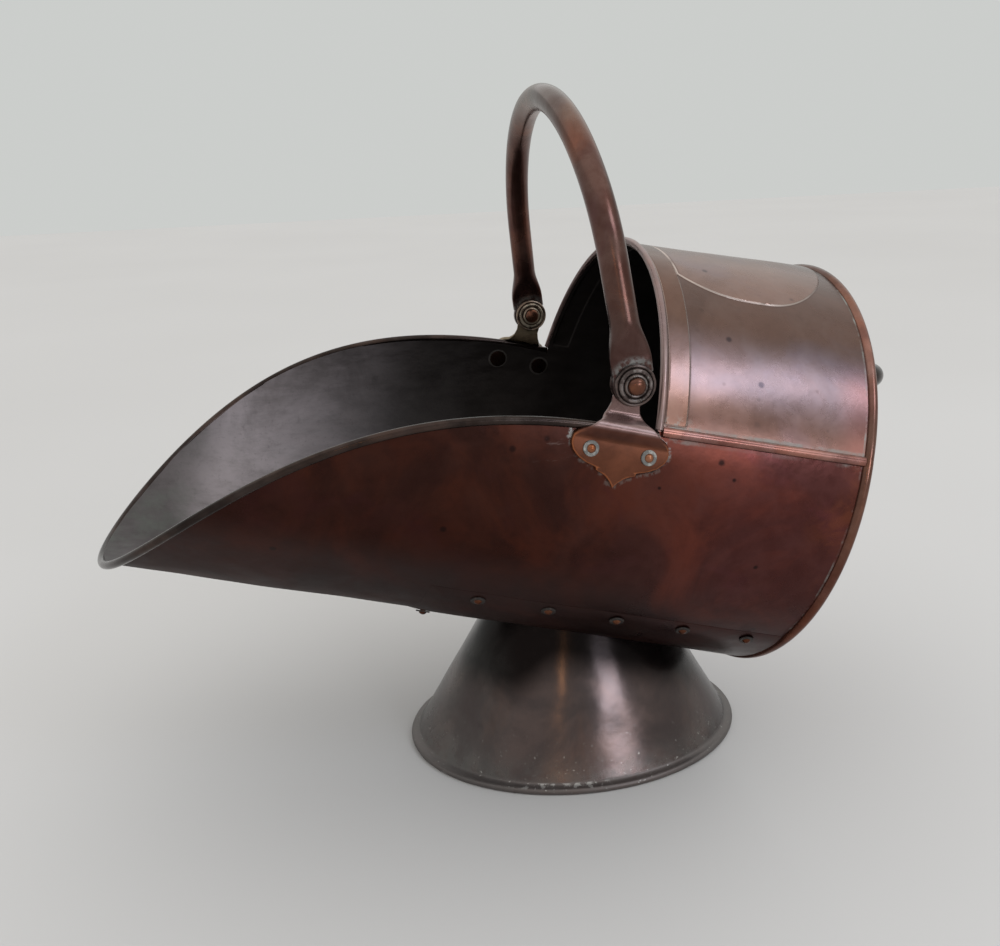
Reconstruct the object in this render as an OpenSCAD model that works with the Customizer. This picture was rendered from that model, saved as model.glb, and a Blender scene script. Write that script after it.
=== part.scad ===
// Copper helmet coal scuttle: a tilted barrel cut away to a long pouring scoop,
// a riveted hood over its rear half, an oval foot and a swinging bail handle.
// Origin: centre of the foot on the floor. +Z is up, the lip points to -X.

/* [Barrel] */
// Outside diameter of the barrel at the back plate
rear_d = 285; // [255:1:315]
// Outside diameter of the barrel at the tip of the lip
front_d = 262; // [240:1:285]
// Length of the barrel from the back plate to the tip of the lip
body_len = 448; // [400:1:500]
// Angle by which the barrel's front end is raised
tilt = 14.5; // [11:0.5:17]
// Distance of the back plate's centre behind the foot's centre
axis_x = 144; // [130:1:158]
// Height of the back plate's centre above the floor
axis_z = 196.5; // [185:0.5:215]
// Thickness of the copper sheet
sheet = 1.2; // [0.9:0.1:1.5]

/* [Scoop mouth] */
// Height of the side seams above the barrel's axis at the back plate
seam_rear_h = 41; // [35:0.5:47]
// Height of the side seams above the barrel's axis at the hood's mouth
seam_front_h = 37.5; // [33:0.5:40]
// How far the rim runs level forward of the hood before it falls away
rim_level_len = 162; // [130:1:180]
// Distance before the lip at which the rim's fall begins to straighten
rim_fall_len = 76; // [60:1:90]
// Height of the rim above the lip at that distance
rim_fall_h = 108; // [90:1:120]
// Diameter of the iron wire that the rim is rolled over
rim_wire_d = 2.8; // [2:0.1:4]

/* [Hood] */
// Length of the hood from the back plate to its mouth
hood_len = 139; // [120:1:160]
// How far the hood's crown stands above the barrel's circle at the back plate
hood_rear_rise = 3.2; // [0:0.1:12]
// How far the hood's crown lies below the barrel's circle at its mouth
hood_mouth_drop = 3.3; // [0:0.1:12]
// Diameter of the iron wire in the hood's mouth
hood_wire_d = 2.2; // [1.6:0.1:3]
// Width of the swaged band behind the mouth
band_w = 13.5; // [8:0.5:20]
// Height of the swaged band and of the crown panel above the sheet
emboss_h = 0.9; // [0.5:0.1:1.1]
// Half width of the crown panel
panel_half_w = 77; // [60:1:90]
// Length of the crown panel behind its widest place
panel_rear_len = 56; // [40:1:58]
// Length of the crown panel in front of its widest place
panel_front_len = 76; // [60:1:85]

/* [Back plate and its handle] */
// Radius of the rolled joint round the back plate
rear_roll_r = 3.5; // [3.2:0.1:4.5]
// Height of the rear handle above the barrel's axis
rear_handle_h = 85; // [70:1:92]
// Distance between the legs of the rear handle
rear_handle_span = 120; // [100:1:126]
// Distance of the grip's centre behind the back plate
rear_handle_reach = 42; // [36:1:55]
// Diameter of the rear handle's tube
rear_handle_d = 16; // [14:0.5:19]

/* [Foot] */
// Length of the oval foot on the floor
foot_len = 251.6; // [220:0.1:280]
// Width of the oval foot on the floor
foot_w = 195.8; // [170:0.1:220]
// How much the foot's half length shrinks for each millimetre of height
foot_slope = 0.585; // [0.5:0.005:0.65]
// Diameter of the iron wire in the foot's edge
foot_wire_d = 2.5; // [2:0.1:3.5]

/* [Saddle plate and rivets] */
// Length of the saddle plate from the back plate forward
saddle_len = 246; // [225:1:270]
// Angle from the bottom of the barrel to the saddle plate's long edges
saddle_angle = 50; // [48:0.5:54]
// Distance of the rivet rows from the saddle plate's edges
rivet_margin = 9; // [7:0.5:12]
// Distance of the rearmost rivets from the back plate
rivet_start = 26; // [20:1:32]
// Number of rivets along each long edge of the saddle plate
side_rivets = 5; // [4:1:6]
// Diameter of the rivet shanks
rivet_d = 4; // [3:0.5:4.5]
// Diameter of the flat rivet heads inside the scoop
rivet_head_d = 13; // [10:0.5:14]
// Diameter of the burrs, the washers that the rivets are closed over
burr_d = 9.5; // [8:0.5:11]

/* [Lugs] */
// Distance of the lugs and of the bail's pivots in front of the hood's mouth
lug_lead = 21.5; // [20:0.5:26]
// Height of the bail's pivots above the barrel's axis
pivot_h = 62; // [60:0.5:68]
// How far the lugs' ears stand in from the widest line of the barrel
ear_inset = 10.7; // [9.5:0.1:12]
// Thickness of the lugs
lug_t = 2.5; // [2:0.1:3]
// Width of the lugs on the barrel's wall
lug_w = 60; // [54:1:64]
// Distance between the two rivets of a lug
lug_rivet_span = 35.6; // [32:0.2:38]
// Height of the lug rivets above the barrel's axis
lug_rivet_h = 21.8; // [20:0.2:24]

/* [Bail] */
// Height of the bail's centreline above the pivots
bail_h = 162.5; // [150:0.5:180]
// By how much the radius of the bail's crown is less than the pivots' half span
bail_crown_less = 3; // [0:0.5:6]
// By how much the radius of the bail's shoulders is less than the pivots' half span
bail_shoulder_less = 28.5; // [24:0.5:32]
// Angle from the crown's middle to where the shoulders begin
bail_crown_angle = 51.5; // [48:0.5:55]
// Diameter of the bail's tube
bail_d = 17; // [14:0.5:18]
// Width of the bail's flattened eyes
bail_eye_w = 25.6; // [24:0.2:28]
// Thickness of the bail's flattened eyes
bail_eye_t = 5; // [4:0.2:6]
// Angle by which the bail leans forward of upright at rest
bail_lean = 7; // [0:0.5:12]
// Diameter of the pivot pins
pin_d = 8; // [6:0.5:9]
// Diameter of the ringed pivot washers
washer_d = 24.4; // [22:0.2:26]
// Thickness of the ringed pivot washers
washer_t = 3.5; // [3:0.1:4.5]

/* [Clearances] */
// Radial running clearance of the bail on its pins
pin_clear = 0.06; // [0.02:0.01:0.1]
// Side play between the bail's eyes and what is next to them
side_play = 0.3; // [0.2:0.05:0.5]
// Radial clearance of rivets in their holes and of wires in their rolls
fit_clear = 0.05; // [0.02:0.01:0.1]

/* [Hidden] */
$fn = 96;

copper = "#7a3f2c";
dark_copper = "#3c2420";
bright_copper = "#b4683c";
brass = "#8f7a45";
iron = "#4a4644";

taper = (rear_d - front_d) / 2 / body_len;
taper_angle = atan(taper);
far_out = rear_d;
rivet_bore = rivet_d + 2 * fit_clear;

// Outside radius of the barrel at a distance u in front of the back plate
function barrel_r(u) = rear_d / 2 - taper * u;
function unit(v) = v / norm(v);
hood_rear_top = barrel_r(0) + hood_rear_rise;
hood_mouth_top = barrel_r(hood_len) - hood_mouth_drop;
lug_u = hood_len + lug_lead;
// Half distance between the inner faces of the lugs' ears
ear_y = barrel_r(lug_u) - ear_inset;
// Thickness of the solder between lapped sheets
solder_t = 0.05;

// ---- frames and sheet metal on the barrel

// The barrel's frame: x runs back along its axis, z square to it, 0 at the back plate
module barrel_frame() {
    translate([axis_x, 0, axis_z]) rotate([0, tilt, 0]) children();
}

// The children and their mirror image on the other side
module both_sides() {
    children();
    mirror([0, 1, 0]) children();
}

// Solid cone on the barrel's axis, grown by off, from u0 to u1 in front of the back plate
module barrel_solid(off, u0, u1) {
    translate([-u0, 0, 0]) rotate([0, -90, 0])
        cylinder(h = u1 - u0, r1 = barrel_r(u0) + off, r2 = barrel_r(u1) + off);
}

// Sheet round the barrel's axis between two offsets from the outside of its wall
module barrel_sheet(off_in, off_out, u0, u1) {
    difference() {
        barrel_solid(off_out, u0, u1);
        barrel_solid(off_in, u0 - 1, u1 + 1);
    }
}

// Prism across the barrel from an outline in its side view
module side_prism() {
    rotate([90, 0, 0]) linear_extrude(2 * far_out, center = true) children();
}

// Place on the outside of the wall, u in front of the back plate and angle round from the bottom
module on_wall(u, angle) {
    translate([-u, 0, 0]) rotate([180 + angle, 0, 0]) translate([0, 0, barrel_r(u)])
        rotate([0, -taper_angle, 0]) children();
}

// ---- rivets, closed over burrs on the outside, with flat heads inside

burr_t = 1;
rivet_dome_d = 1.4 * rivet_d;
rivet_dome_h = 0.45 * rivet_d;
rivet_head_t = 1.2;
// A flat head's edge just touches the hollow wall, so its middle is set off by this much
rivet_head_set = rivet_head_d * rivet_head_d / 8 / (front_d / 2);

// Low dome of diameter d and height h on the plane z = 0
module dome(d, h) {
    r = (h * h + d * d / 4) / (2 * h);
    intersection() {
        translate([0, 0, h - r]) sphere(r);
        cylinder(h = h + 1, d = d + 1);
    }
}

// Rivet through a stack from z = -below to z = above
module rivet(below, above) {
    translate([0, 0, -below - rivet_head_set - rivet_head_t]) cylinder(h = rivet_head_t, d = rivet_head_d);
    translate([0, 0, -below - rivet_head_set - 0.1])
        cylinder(h = below + rivet_head_set + above + burr_t + 0.2, d = rivet_d);
    translate([0, 0, above + burr_t]) dome(rivet_dome_d, rivet_dome_h);
}

module burr(above) {
    translate([0, 0, above]) difference() {
        cylinder(h = burr_t, d = burr_d);
        translate([0, 0, -1]) cylinder(h = burr_t + 2, d = rivet_bore);
    }
}

module rivet_hole(below, above) {
    translate([0, 0, -below - 1]) cylinder(h = below + above + 2, d = rivet_bore);
}

// Places of the saddle plate's rivets: two long rows and three across the front
saddle_rivet_angle = saddle_angle - rivet_margin / (rear_d / 2) * 180 / PI;
rivet_pitch = (saddle_len - rivet_margin - rivet_start) / (side_rivets - 0.5);
module saddle_places() {
    both_sides() {
        for (k = [0 : side_rivets - 1])
            on_wall(rivet_start + k * rivet_pitch, saddle_rivet_angle) children();
        on_wall(saddle_len - rivet_margin, saddle_rivet_angle / 2) children();
    }
    on_wall(saddle_len - rivet_margin, 0) children();
}

// Places of the lugs' rivets, two on each side
module lug_places() {
    both_sides() for (side = [-1, 1]) {
        u = lug_u + side * lug_rivet_span / 2;
        on_wall(u, 90 + asin(lug_rivet_h / barrel_r(u))) children();
    }
}

// ---- the rolled joint round the back plate, in two arcs that meet at the seams

hood_rear_c = hood_centre(0, seam_rear_h, hood_rear_top);
hood_rear_r = hood_rear_top - hood_rear_c;
rear_roll_in = 0.8;
module roll_arc(r, centre_h, from, sweep, section_r) {
    translate([0, 0, centre_h]) rotate([0, -90, 0]) rotate([0, 0, from])
        rotate_extrude(angle = sweep) translate([r, 0]) circle(section_r);
}
module lower_roll() {
    r = rear_d / 2 - rear_roll_in;
    a = acos(seam_rear_h / r) - 0.2;
    roll_arc(r, 0, a, 360 - 2 * a, rear_roll_r);
}
module upper_roll() {
    r = hood_rear_r - rear_roll_in;
    a = acos((seam_rear_h - hood_rear_c) / r) + 0.2;
    roll_arc(r, hood_rear_c, -a, 2 * a, rear_roll_r - 0.1);
}

// ---- the rim of the scoop, a cubic curve in the side view

rim_roll_r = rim_wire_d / 2 + fit_clear + sheet;
rim_start = [hood_len, seam_front_h - rim_roll_r];
rim_tip = [body_len, -barrel_r(body_len)];
rim_pull_1 = rim_start + [rim_level_len, 4.5];
rim_pull_2 = rim_tip + [-rim_fall_len, rim_fall_h];
rim_steps = 28;
rim_sides = 12;
// The roll's inner flat lies this far inside the sheet's inner face
rim_lap = 0.1;

function bezier(t) = pow(1 - t, 3) * rim_start + 3 * pow(1 - t, 2) * t * rim_pull_1
    + 3 * (1 - t) * t * t * rim_pull_2 + pow(t, 3) * rim_tip;

// Step k of the rim as [x, y, z] in the barrel's frame, from the near side round
// the lip to the far side; the steps are closest together at the lip
function rim_point(k) =
    let (s = 1 - abs(k - rim_steps) / rim_steps, p = bezier(s * (2 - s)),
        y = sqrt(max(0, pow(barrel_r(p[0]), 2) - p[1] * p[1])))
    [-p[0], (k < rim_steps ? -1 : 1) * y, p[1]];
function rim_tangent(k) =
    unit(rim_point(min(k + 1, 2 * rim_steps)) - rim_point(max(k - 1, 0)));
function wall_normal(p) = unit([-taper * norm([p[1], p[2]]), p[1], p[2]]);

// Ring of radius r round the roll's centre at step k of the rim
function rim_ring(k, r) =
    let (p = rim_point(k), n = wall_normal(p), b = unit(cross(rim_tangent(k), n)),
        c = p + n * (rim_roll_r * cos(180 / rim_sides) - sheet - rim_lap))
    [for (j = [0 : rim_sides - 1]) let (a = -(j + 0.5) * 360 / rim_sides)
        c + r * cos(a) * n + r * sin(a) * b];

// Solid bar through a list of rings of points
module bar(rings) {
    sides = len(rings[0]);
    count = len(rings);
    polyhedron([for (ring = rings) each ring], concat(
        [for (k = [0 : count - 2], j = [0 : sides - 1]) let (a = k * sides + j,
            b = k * sides + (j + 1) % sides) [a, b, b + sides, a + sides]],
        [[for (j = [sides - 1 : -1 : 0]) j]],
        [[for (j = [0 : sides - 1]) (count - 1) * sides + j]]), convexity = 8);
}
module rim_bar(r) {
    bar([for (k = [0 : 2 * rim_steps]) rim_ring(k, r)]);
}

// A point on the rim's line carried on past the lip, clear of the barrel
rim_end = let (a = rim_point(rim_steps - 1), b = rim_point(rim_steps))
    [b[0], b[2]] + 6 * unit([b[0] - a[0], b[2] - a[2]]);

// ---- scoop

// Sheet of the scoop, cut to the seams and to the middle of the rolled rim
module scoop_sheet() {
    difference() {
        intersection() {
            barrel_sheet(-sheet, 0, 0, body_len + 8);
            side_prism() polygon(concat(
                [[0, -far_out], [0, seam_rear_h], [-hood_len, seam_front_h]],
                [for (k = [0 : rim_steps - 1]) let (p = rim_point(k)) [p[0], p[2]]],
                [rim_end, [-body_len - 8, -far_out]]));
        }
        lower_roll();
        saddle_places() rivet_hole(sheet, 0);
        lug_places() rivet_hole(sheet, 0);
    }
}

module scoop_shell() {
    color(dark_copper) barrel_frame() difference() {
        union() {
            scoop_sheet();
            rim_bar(rim_roll_r);
        }
        rim_bar(rim_wire_d / 2 + fit_clear);
    }
}

module rim_wire() {
    color(iron) barrel_frame() rim_bar(rim_wire_d / 2);
}

// ---- hood

// Height of the centre of the circle through both seams and the hood's crown
function hood_centre(u, h, top) = (top * top - pow(barrel_r(u), 2)) / (2 * (top - h));
hood_mouth_c = hood_centre(hood_len, seam_front_h, hood_mouth_top);
hood_mouth_r = hood_mouth_top - hood_mouth_c;
hood_axis_angle = atan((hood_rear_c - hood_mouth_c) / hood_len);
hood_roll_r = hood_wire_d / 2 + fit_clear + sheet;
strip_r = 2.5;
band_front = hood_len - hood_roll_r - 1;
band_rear = band_front - band_w;
// Width of the slope at the edges of the swaged band and the crown panel
emboss_edge = 0.8;
panel_groove = 1.2;
// Distance of the crown panel from the back plate
panel_start = 6;
// Distance of the band's ends above the seam strips
band_clear = 0.4;
// The crown panel stops here, a groove behind the band
panel_front_end = band_rear - panel_groove;
// The cones run on by this much past the sheet's ends, which are cut square
hood_over = 20;

function hood_r(u) = hood_rear_r + (hood_mouth_r - hood_rear_r) * u / hood_len;
module hood_solid(off, u0, u1) {
    translate([0, 0, hood_rear_c]) rotate([0, -hood_axis_angle, 0]) translate([-u0, 0, 0])
        rotate([0, -90, 0]) cylinder(h = u1 - u0, r1 = hood_r(u0) + off, r2 = hood_r(u1) + off);
}

// Outline of the crown panel from above: an oval with a fuller front half
panel_steps = 40;
function panel_point(a, inset) =
    let (front = abs(a) < 90, n = front ? 2.6 : 2, c = cos(a), s = sin(a),
        len = (front ? panel_front_len : panel_rear_len) - inset)
    [max(-panel_front_end + inset, -panel_rear_len - panel_start - sign(c) * len * pow(abs(c), 2 / n)),
        sign(s) * (panel_half_w - inset) * pow(abs(s), 2 / n)];
module panel_prism(inset) {
    translate([0, 0, hood_rear_top / 2 + inset]) linear_extrude(far_out)
        polygon([for (k = [0 : panel_steps - 1])
            panel_point(360 * (k + 0.5) / panel_steps - 180, inset)]);
}

// The hood's form, grown by off, with the swaged band and the crown panel raised
module hood_form(off, inset) {
    hood_solid(off, -hood_over - inset, hood_len + hood_over + inset);
    intersection() {
        hood_solid(off + emboss_h, hood_len / 2 + inset, hood_len + 1.5 * hood_over + inset);
        translate([-band_front + inset, -far_out, seam_front_h + strip_r + band_clear + inset])
            cube([band_w - 2 * inset, 2 * far_out, 2 * far_out]);
    }
    intersection() {
        hood_solid(off + emboss_h, -0.7 * hood_over - 2 * inset, hood_len + inset);
        panel_prism(inset);
    }
}

// The ring stands this much proud of a flush fit, which keeps its bore clear of the sheet
hood_lap = 0.75;
// Half angle of the ring round the hood's mouth, which stands on the scoop's rolled rim
hood_ring_r = hood_mouth_r + hood_roll_r - sheet + hood_lap;
hood_ring_angle = acos((seam_front_h + 0.8 - hood_mouth_c) / hood_ring_r);
module hood_ring(section_r) {
    translate([-hood_len, 0, 0])
        roll_arc(hood_ring_r, hood_mouth_c, -hood_ring_angle, 2 * hood_ring_angle, section_r);
}

// Bar through the ring's middle in straight steps, with some more at each end
hood_wire_steps = 36;
hood_wire_sides = 12;
// The wire ends just inside the ring
hood_wire_angle = hood_ring_angle - 0.4;
module hood_wire_bar(r, more) {
    bar([for (k = [-more : hood_wire_steps + more])
        let (a = hood_wire_angle * (2 * k / hood_wire_steps - 1))
        [for (j = [0 : hood_wire_sides - 1]) let (b = j * 360 / hood_wire_sides, c = hood_ring_r + r * cos(b))
            [-hood_len + r * sin(b), -c * sin(a), hood_mouth_c + c * cos(a)]]]);
}

module hood_sheet() {
    difference() {
        intersection() {
            difference() {
                hood_form(0, 0);
                hood_form(-sheet, emboss_edge);
            }
            side_prism() polygon([[0, seam_rear_h], [-hood_len, seam_front_h],
                [-hood_len, far_out], [0, far_out]]);
        }
        upper_roll();
    }
}
module hood_shell() {
    color(copper) barrel_frame() {
        hood_sheet();
        difference() {
            hood_ring(hood_roll_r);
            hood_wire_bar(hood_wire_d / 2 + fit_clear, 1);
        }
    }
}

module hood_wire() {
    color(iron) barrel_frame() hood_wire_bar(hood_wire_d / 2, 0);
}

// ---- back plate and side seams

// One half of the back plate, on one side of the plane through the seams
module plate_half(r, centre_h, below) {
    intersection() {
        translate([0, 0, centre_h]) rotate([0, 90, 0]) cylinder(h = sheet, r = r, center = true);
        translate([-5, -far_out / 2, below ? seam_rear_h - far_out : seam_rear_h - 0.5])
            cube([10, far_out, far_out]);
    }
}

module back_plate() {
    color(copper) barrel_frame() difference() {
        union() {
            plate_half(rear_d / 2 - rear_roll_in, 0, true);
            plate_half(hood_rear_r - rear_roll_in, hood_rear_c, false);
            lower_roll();
            upper_roll();
        }
        handle_rivet_places() rivet_hole(sheet, 0);
    }
}

// Half round strip over the seam between the scoop and the hood, a hair off the round wall
strip_gap = 0.12;
strip_end_u = hood_len - hood_roll_r - 0.3;
module seam_strip() {
    rear_angle = 90 + asin(seam_rear_h / barrel_r(0));
    front_angle = 90 + asin(seam_front_h / barrel_r(hood_len));
    drift = (rear_angle - front_angle) * barrel_r(hood_len / 2) / hood_len;
    color(bright_copper) barrel_frame() difference() {
        on_wall(0, rear_angle) intersection() {
            rotate([0, 0, -drift]) rotate([0, -90, 0]) cylinder(h = strip_end_u, r = strip_r);
            translate([-hood_len, -2 * strip_r, strip_gap]) cube([2 * hood_len, 4 * strip_r, 2 * strip_r]);
        }
        lower_roll();
        upper_roll();
    }
}
module seam_strip_far() {
    seam_strip();
}
module seam_strip_near() {
    mirror([0, 1, 0]) seam_strip();
}

// ---- saddle plate

module saddle_plate() {
    color(dark_copper) barrel_frame() difference() {
        rotate([0, -90, 0]) rotate([0, 0, 180 - saddle_angle]) rotate_extrude(angle = 2 * saddle_angle)
            polygon([[barrel_r(0) + solder_t, 0], [barrel_r(0) + sheet, 0],
                [barrel_r(saddle_len) + sheet, saddle_len], [barrel_r(saddle_len) + solder_t, saddle_len]]);
        lower_roll();
        saddle_places() rivet_hole(0, sheet);
    }
}

module saddle_rivets() {
    color(bright_copper) barrel_frame() saddle_places() rivet(sheet, sheet);
}

module saddle_burrs() {
    color(bright_copper) barrel_frame() saddle_places() burr(sheet);
}

// ---- foot

foot_k = foot_w / foot_len;
foot_roll_r = foot_wire_d / 2 + fit_clear + sheet;
// The roll is ground off by this much, so that the foot stands on a narrow flat ring
foot_flat = 0.08;
foot_roll_x = foot_len / 2 - foot_roll_r;
foot_roll_z = foot_roll_r - foot_flat;
foot_top_z = 150;
foot_dir = unit([-foot_slope, 1]);
// Point of the foot's wall in section: run along it, off from the roll's centre inward
function foot_point(run, off) =
    [foot_roll_x, foot_roll_z] + run * foot_dir + off * [-foot_dir[1], foot_dir[0]];
// Points of a circle round the roll's centre, from a0 to a1 past its inward side
function foot_arc(r, a0, a1, n) = [for (i = [0 : n]) let (a = a0 + (a1 - a0) * i / n)
    foot_point(r * sin(a), r * cos(a))];
foot_steps = 80;
// Ring of points: a point of the section carried round the oval
function foot_loop(p) = [for (i = [0 : foot_steps - 1]) let (a = 360 * i / foot_steps)
    [p[0] * cos(a), p[0] * foot_k * sin(a), p[1]]];
// Closed ring swept round the oval from a closed section
module oval_ring(section) {
    m = len(section);
    polyhedron([for (p = section) each foot_loop(p)],
        [for (j = [0 : m - 1], i = [0 : foot_steps - 1])
            let (a = j * foot_steps, b = (j + 1) % m * foot_steps, n = (i + 1) % foot_steps)
            [a + i, a + n, b + n, b + i]], convexity = 8);
}
module foot_cone() {
    color(dark_copper) difference() {
        oval_ring(concat(
            foot_arc(foot_roll_r, acos((foot_roll_r - sheet) / foot_roll_r), 360, 11),
            [foot_point(foot_top_z, foot_roll_r), foot_point(foot_top_z, foot_roll_r - sheet)]));
        oval_ring(foot_arc(foot_wire_d / 2 + fit_clear, 0, 324, 9));
        barrel_frame() barrel_solid(sheet, 10, 300);
        translate([-far_out / 2, -far_out / 2, -10]) cube([far_out, far_out, 10]);
    }
}

module foot_wire() {
    color(iron) oval_ring(foot_arc(foot_wire_d / 2, 0, 324, 9));
}

// ---- lugs

// Outline of half a lug as [share of its half width, height against its rivets]
lug_half = [[0, -20.8], [0.16, -16.4], [0.28, -13], [0.4, -11], [0.5, -8.8], [0.66, -7.6],
    [0.82, -5], [0.95, -0.8], [1, 3.6], [0.98, 6.6], [0.88, 9.2], [0.76, 12], [0.67, 14.6],
    [0.58, 17.2], [0.44, 19.6], [0.33, 23.2], [0.29, 27], [0.3, 31.5]];
lug_disc_d = washer_d - 0.6;
// Point between p1 and p2 on a smooth curve through four points
function smooth(p0, p1, p2, p3, t) = 0.5 * (2 * p1 + (p2 - p0) * t
    + (2 * p0 - 5 * p1 + 4 * p2 - p3) * t * t + (3 * p1 - p0 - 3 * p2 + p3) * t * t * t);
lug_last = len(lug_half) - 1;
lug_curve = concat([for (i = [0 : lug_last - 1], t = [0, 1 / 3, 2 / 3])
    smooth(lug_half[max(i - 1, 0)], lug_half[i], lug_half[i + 1], lug_half[min(i + 2, lug_last)], t)],
    [lug_half[lug_last]]);
function reversed(list) = [for (i = [len(list) - 1 : -1 : 0]) list[i]];
module lug_outline() {
    polygon([for (p = concat(lug_curve, reversed([for (q = lug_curve) if (q[0] > 0) [-q[0], q[1]]])))
        [-lug_u + p[0] * lug_w / 2, lug_rivet_h + p[1]]]);
}

// Section of a lug across the barrel: it follows the wall, swells over the rolled rim
// and steps in to the upright ear
lug_rim_gap = 0.35;
lug_bulge_r = rim_roll_r + lug_rim_gap;
lug_bulge_c = let (r = barrel_r(lug_u), h = rim_start[1] + 0.2)
    [sqrt(r * r - h * h) + rim_roll_r - sheet, h];
lug_wall_angle = asin((lug_bulge_c[1] - 1.9 * lug_bulge_r) / barrel_r(lug_u));
lug_step_r = 4.2;
lug_step_a = 75;
function arc(c, r, a0, a1, n) = [for (i = [0 : n]) let (a = a0 + (a1 - a0) * i / n)
    c + r * [cos(a), sin(a)]];
// Centre of the arc by which the lug steps in from the swelling to the ear
lug_step_c = let (r = lug_step_r + lug_t + lug_bulge_r, c = cos(lug_step_a), s = sin(lug_step_a),
    x = ear_y + lug_t + lug_step_r, run = (lug_bulge_c[0] + r * c - x) / s)
    [x, lug_bulge_c[1] + r * s + run * c];
// One face of the lug's section, off outward from its inner face
function lug_face(off) = concat(
    arc([0, 0], barrel_r(lug_u) + (off > 0 ? off : -0.4), -6, lug_wall_angle, 6),
    arc(lug_bulge_c, lug_bulge_r + off, -28, lug_step_a, 8),
    arc(lug_step_c, lug_step_r + lug_t - off, 180 + lug_step_a, 180, 5),
    [[ear_y + off, pivot_h + washer_d]]);
// The lug's stretch on the wall lies along the barrel's taper, its ear along the barrel's axis
module lug_prism(turn) {
    translate([-lug_u, 0, 0]) rotate([0, 0, turn]) rotate([90, 0, -90])
        linear_extrude(lug_w + 20, center = true)
        polygon([for (p = concat(lug_face(lug_t), reversed(lug_face(0)))) [-p[0], p[1]]]);
}
// Half-space above or below the place where the ear stands up, which they share by a lap
lug_lap = 0.3;
module lug_half_space(above) {
    translate([-1.5 * far_out, 0, lug_step_c[1] + (above ? 0 : lug_lap - far_out)])
        cube([2 * far_out, far_out, far_out]);
}
module lug() {
    color(bright_copper) barrel_frame() difference() {
        union() {
            intersection() {
                lug_prism(taper_angle);
                side_prism() lug_outline();
                lug_half_space(false);
            }
            intersection() {
                lug_prism(0);
                union() {
                    side_prism() lug_outline();
                    pivot_place() cylinder(h = far_out, d = lug_disc_d);
                }
                lug_half_space(true);
            }
        }
        intersection() {
            barrel_solid(solder_t, lug_u - lug_w, lug_u + lug_w);
            translate([-far_out, -far_out / 2, lug_bulge_c[1] - far_out]) cube(far_out);
        }
        lug_places() rivet_hole(1, lug_t);
        pivot_place() cylinder(h = far_out, d = pin_d + 2 * fit_clear);
    }
}
module lug_far() {
    lug();
}
module lug_near() {
    mirror([0, 1, 0]) lug();
}
module lug_rivets() {
    color(bright_copper) barrel_frame() lug_places() rivet(sheet, lug_t + solder_t);
}
module lug_burrs() {
    color(bright_copper) barrel_frame() lug_places() burr(lug_t + solder_t);
}

// ---- pivots of the bail

// The pivots' axis, with z pointing to the far side
module pivot_place() {
    translate([-lug_u, 0, pivot_h]) rotate([-90, 0, 0]) children();
}
eye_y = ear_y + lug_t + side_play;
outer_washer_y = eye_y + bail_eye_t + side_play;
inner_washer_y = ear_y - washer_t;
washer_ring_d = 0.74 * washer_d;
washer_ring_t = 0.55 * washer_t;
pin_head_d = 1.3 * pin_d;
pin_head_h = 0.42 * pin_d;

// Washer with a raised ring, its flat side on the plane z = 0
module ringed_washer() {
    difference() {
        union() {
            cylinder(h = washer_ring_t, d = washer_d);
            cylinder(h = washer_t, d = washer_ring_d);
        }
        translate([0, 0, -1]) cylinder(h = washer_t + 2, d = pin_d + 2 * fit_clear);
    }
}
module outer_washer() {
    color(brass) barrel_frame() pivot_place() translate([0, 0, outer_washer_y]) ringed_washer();
}
module inner_washer() {
    color(brass) barrel_frame() pivot_place() translate([0, 0, ear_y]) mirror([0, 0, 1]) ringed_washer();
}
module pivot_pin() {
    color(copper) barrel_frame() pivot_place() {
        translate([0, 0, inner_washer_y - 0.1])
            cylinder(h = outer_washer_y + washer_t - inner_washer_y + 0.2, d = pin_d);
        translate([0, 0, outer_washer_y + washer_t]) dome(pin_head_d, pin_head_h);
        translate([0, 0, inner_washer_y]) mirror([0, 0, 1]) dome(pin_head_d, pin_head_h);
    }
}
module outer_washer_far() {
    outer_washer();
}
module outer_washer_near() {
    mirror([0, 1, 0]) outer_washer();
}
module inner_washer_far() {
    inner_washer();
}
module inner_washer_near() {
    mirror([0, 1, 0]) inner_washer();
}
module pivot_pin_far() {
    pivot_pin();
}
module pivot_pin_near() {
    mirror([0, 1, 0]) pivot_pin();
}

// ---- bail

// Centreline of half the bail as [y, height above the pivots], from the crown down:
// crown arc, shoulder arc, straight arm and a last bend upright into the eye
eye_mid_y = eye_y + bail_eye_t / 2;
bail_crown_r = eye_mid_y - bail_crown_less;
bail_shoulder_r = eye_mid_y - bail_shoulder_less;
bail_end_h = 2;
crown_end = [0, bail_h - bail_crown_r] + bail_crown_r * [sin(bail_crown_angle), cos(bail_crown_angle)];
shoulder_c = crown_end - bail_shoulder_r * [sin(bail_crown_angle), cos(bail_crown_angle)];
// The shoulder ends where the arm can leave it for the eye
arm_angle = 79.3;
arm_top = shoulder_c + bail_shoulder_r * [sin(arm_angle), cos(arm_angle)];
arm_flare = 90 - arm_angle;
bend_end_h = 10;
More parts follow.
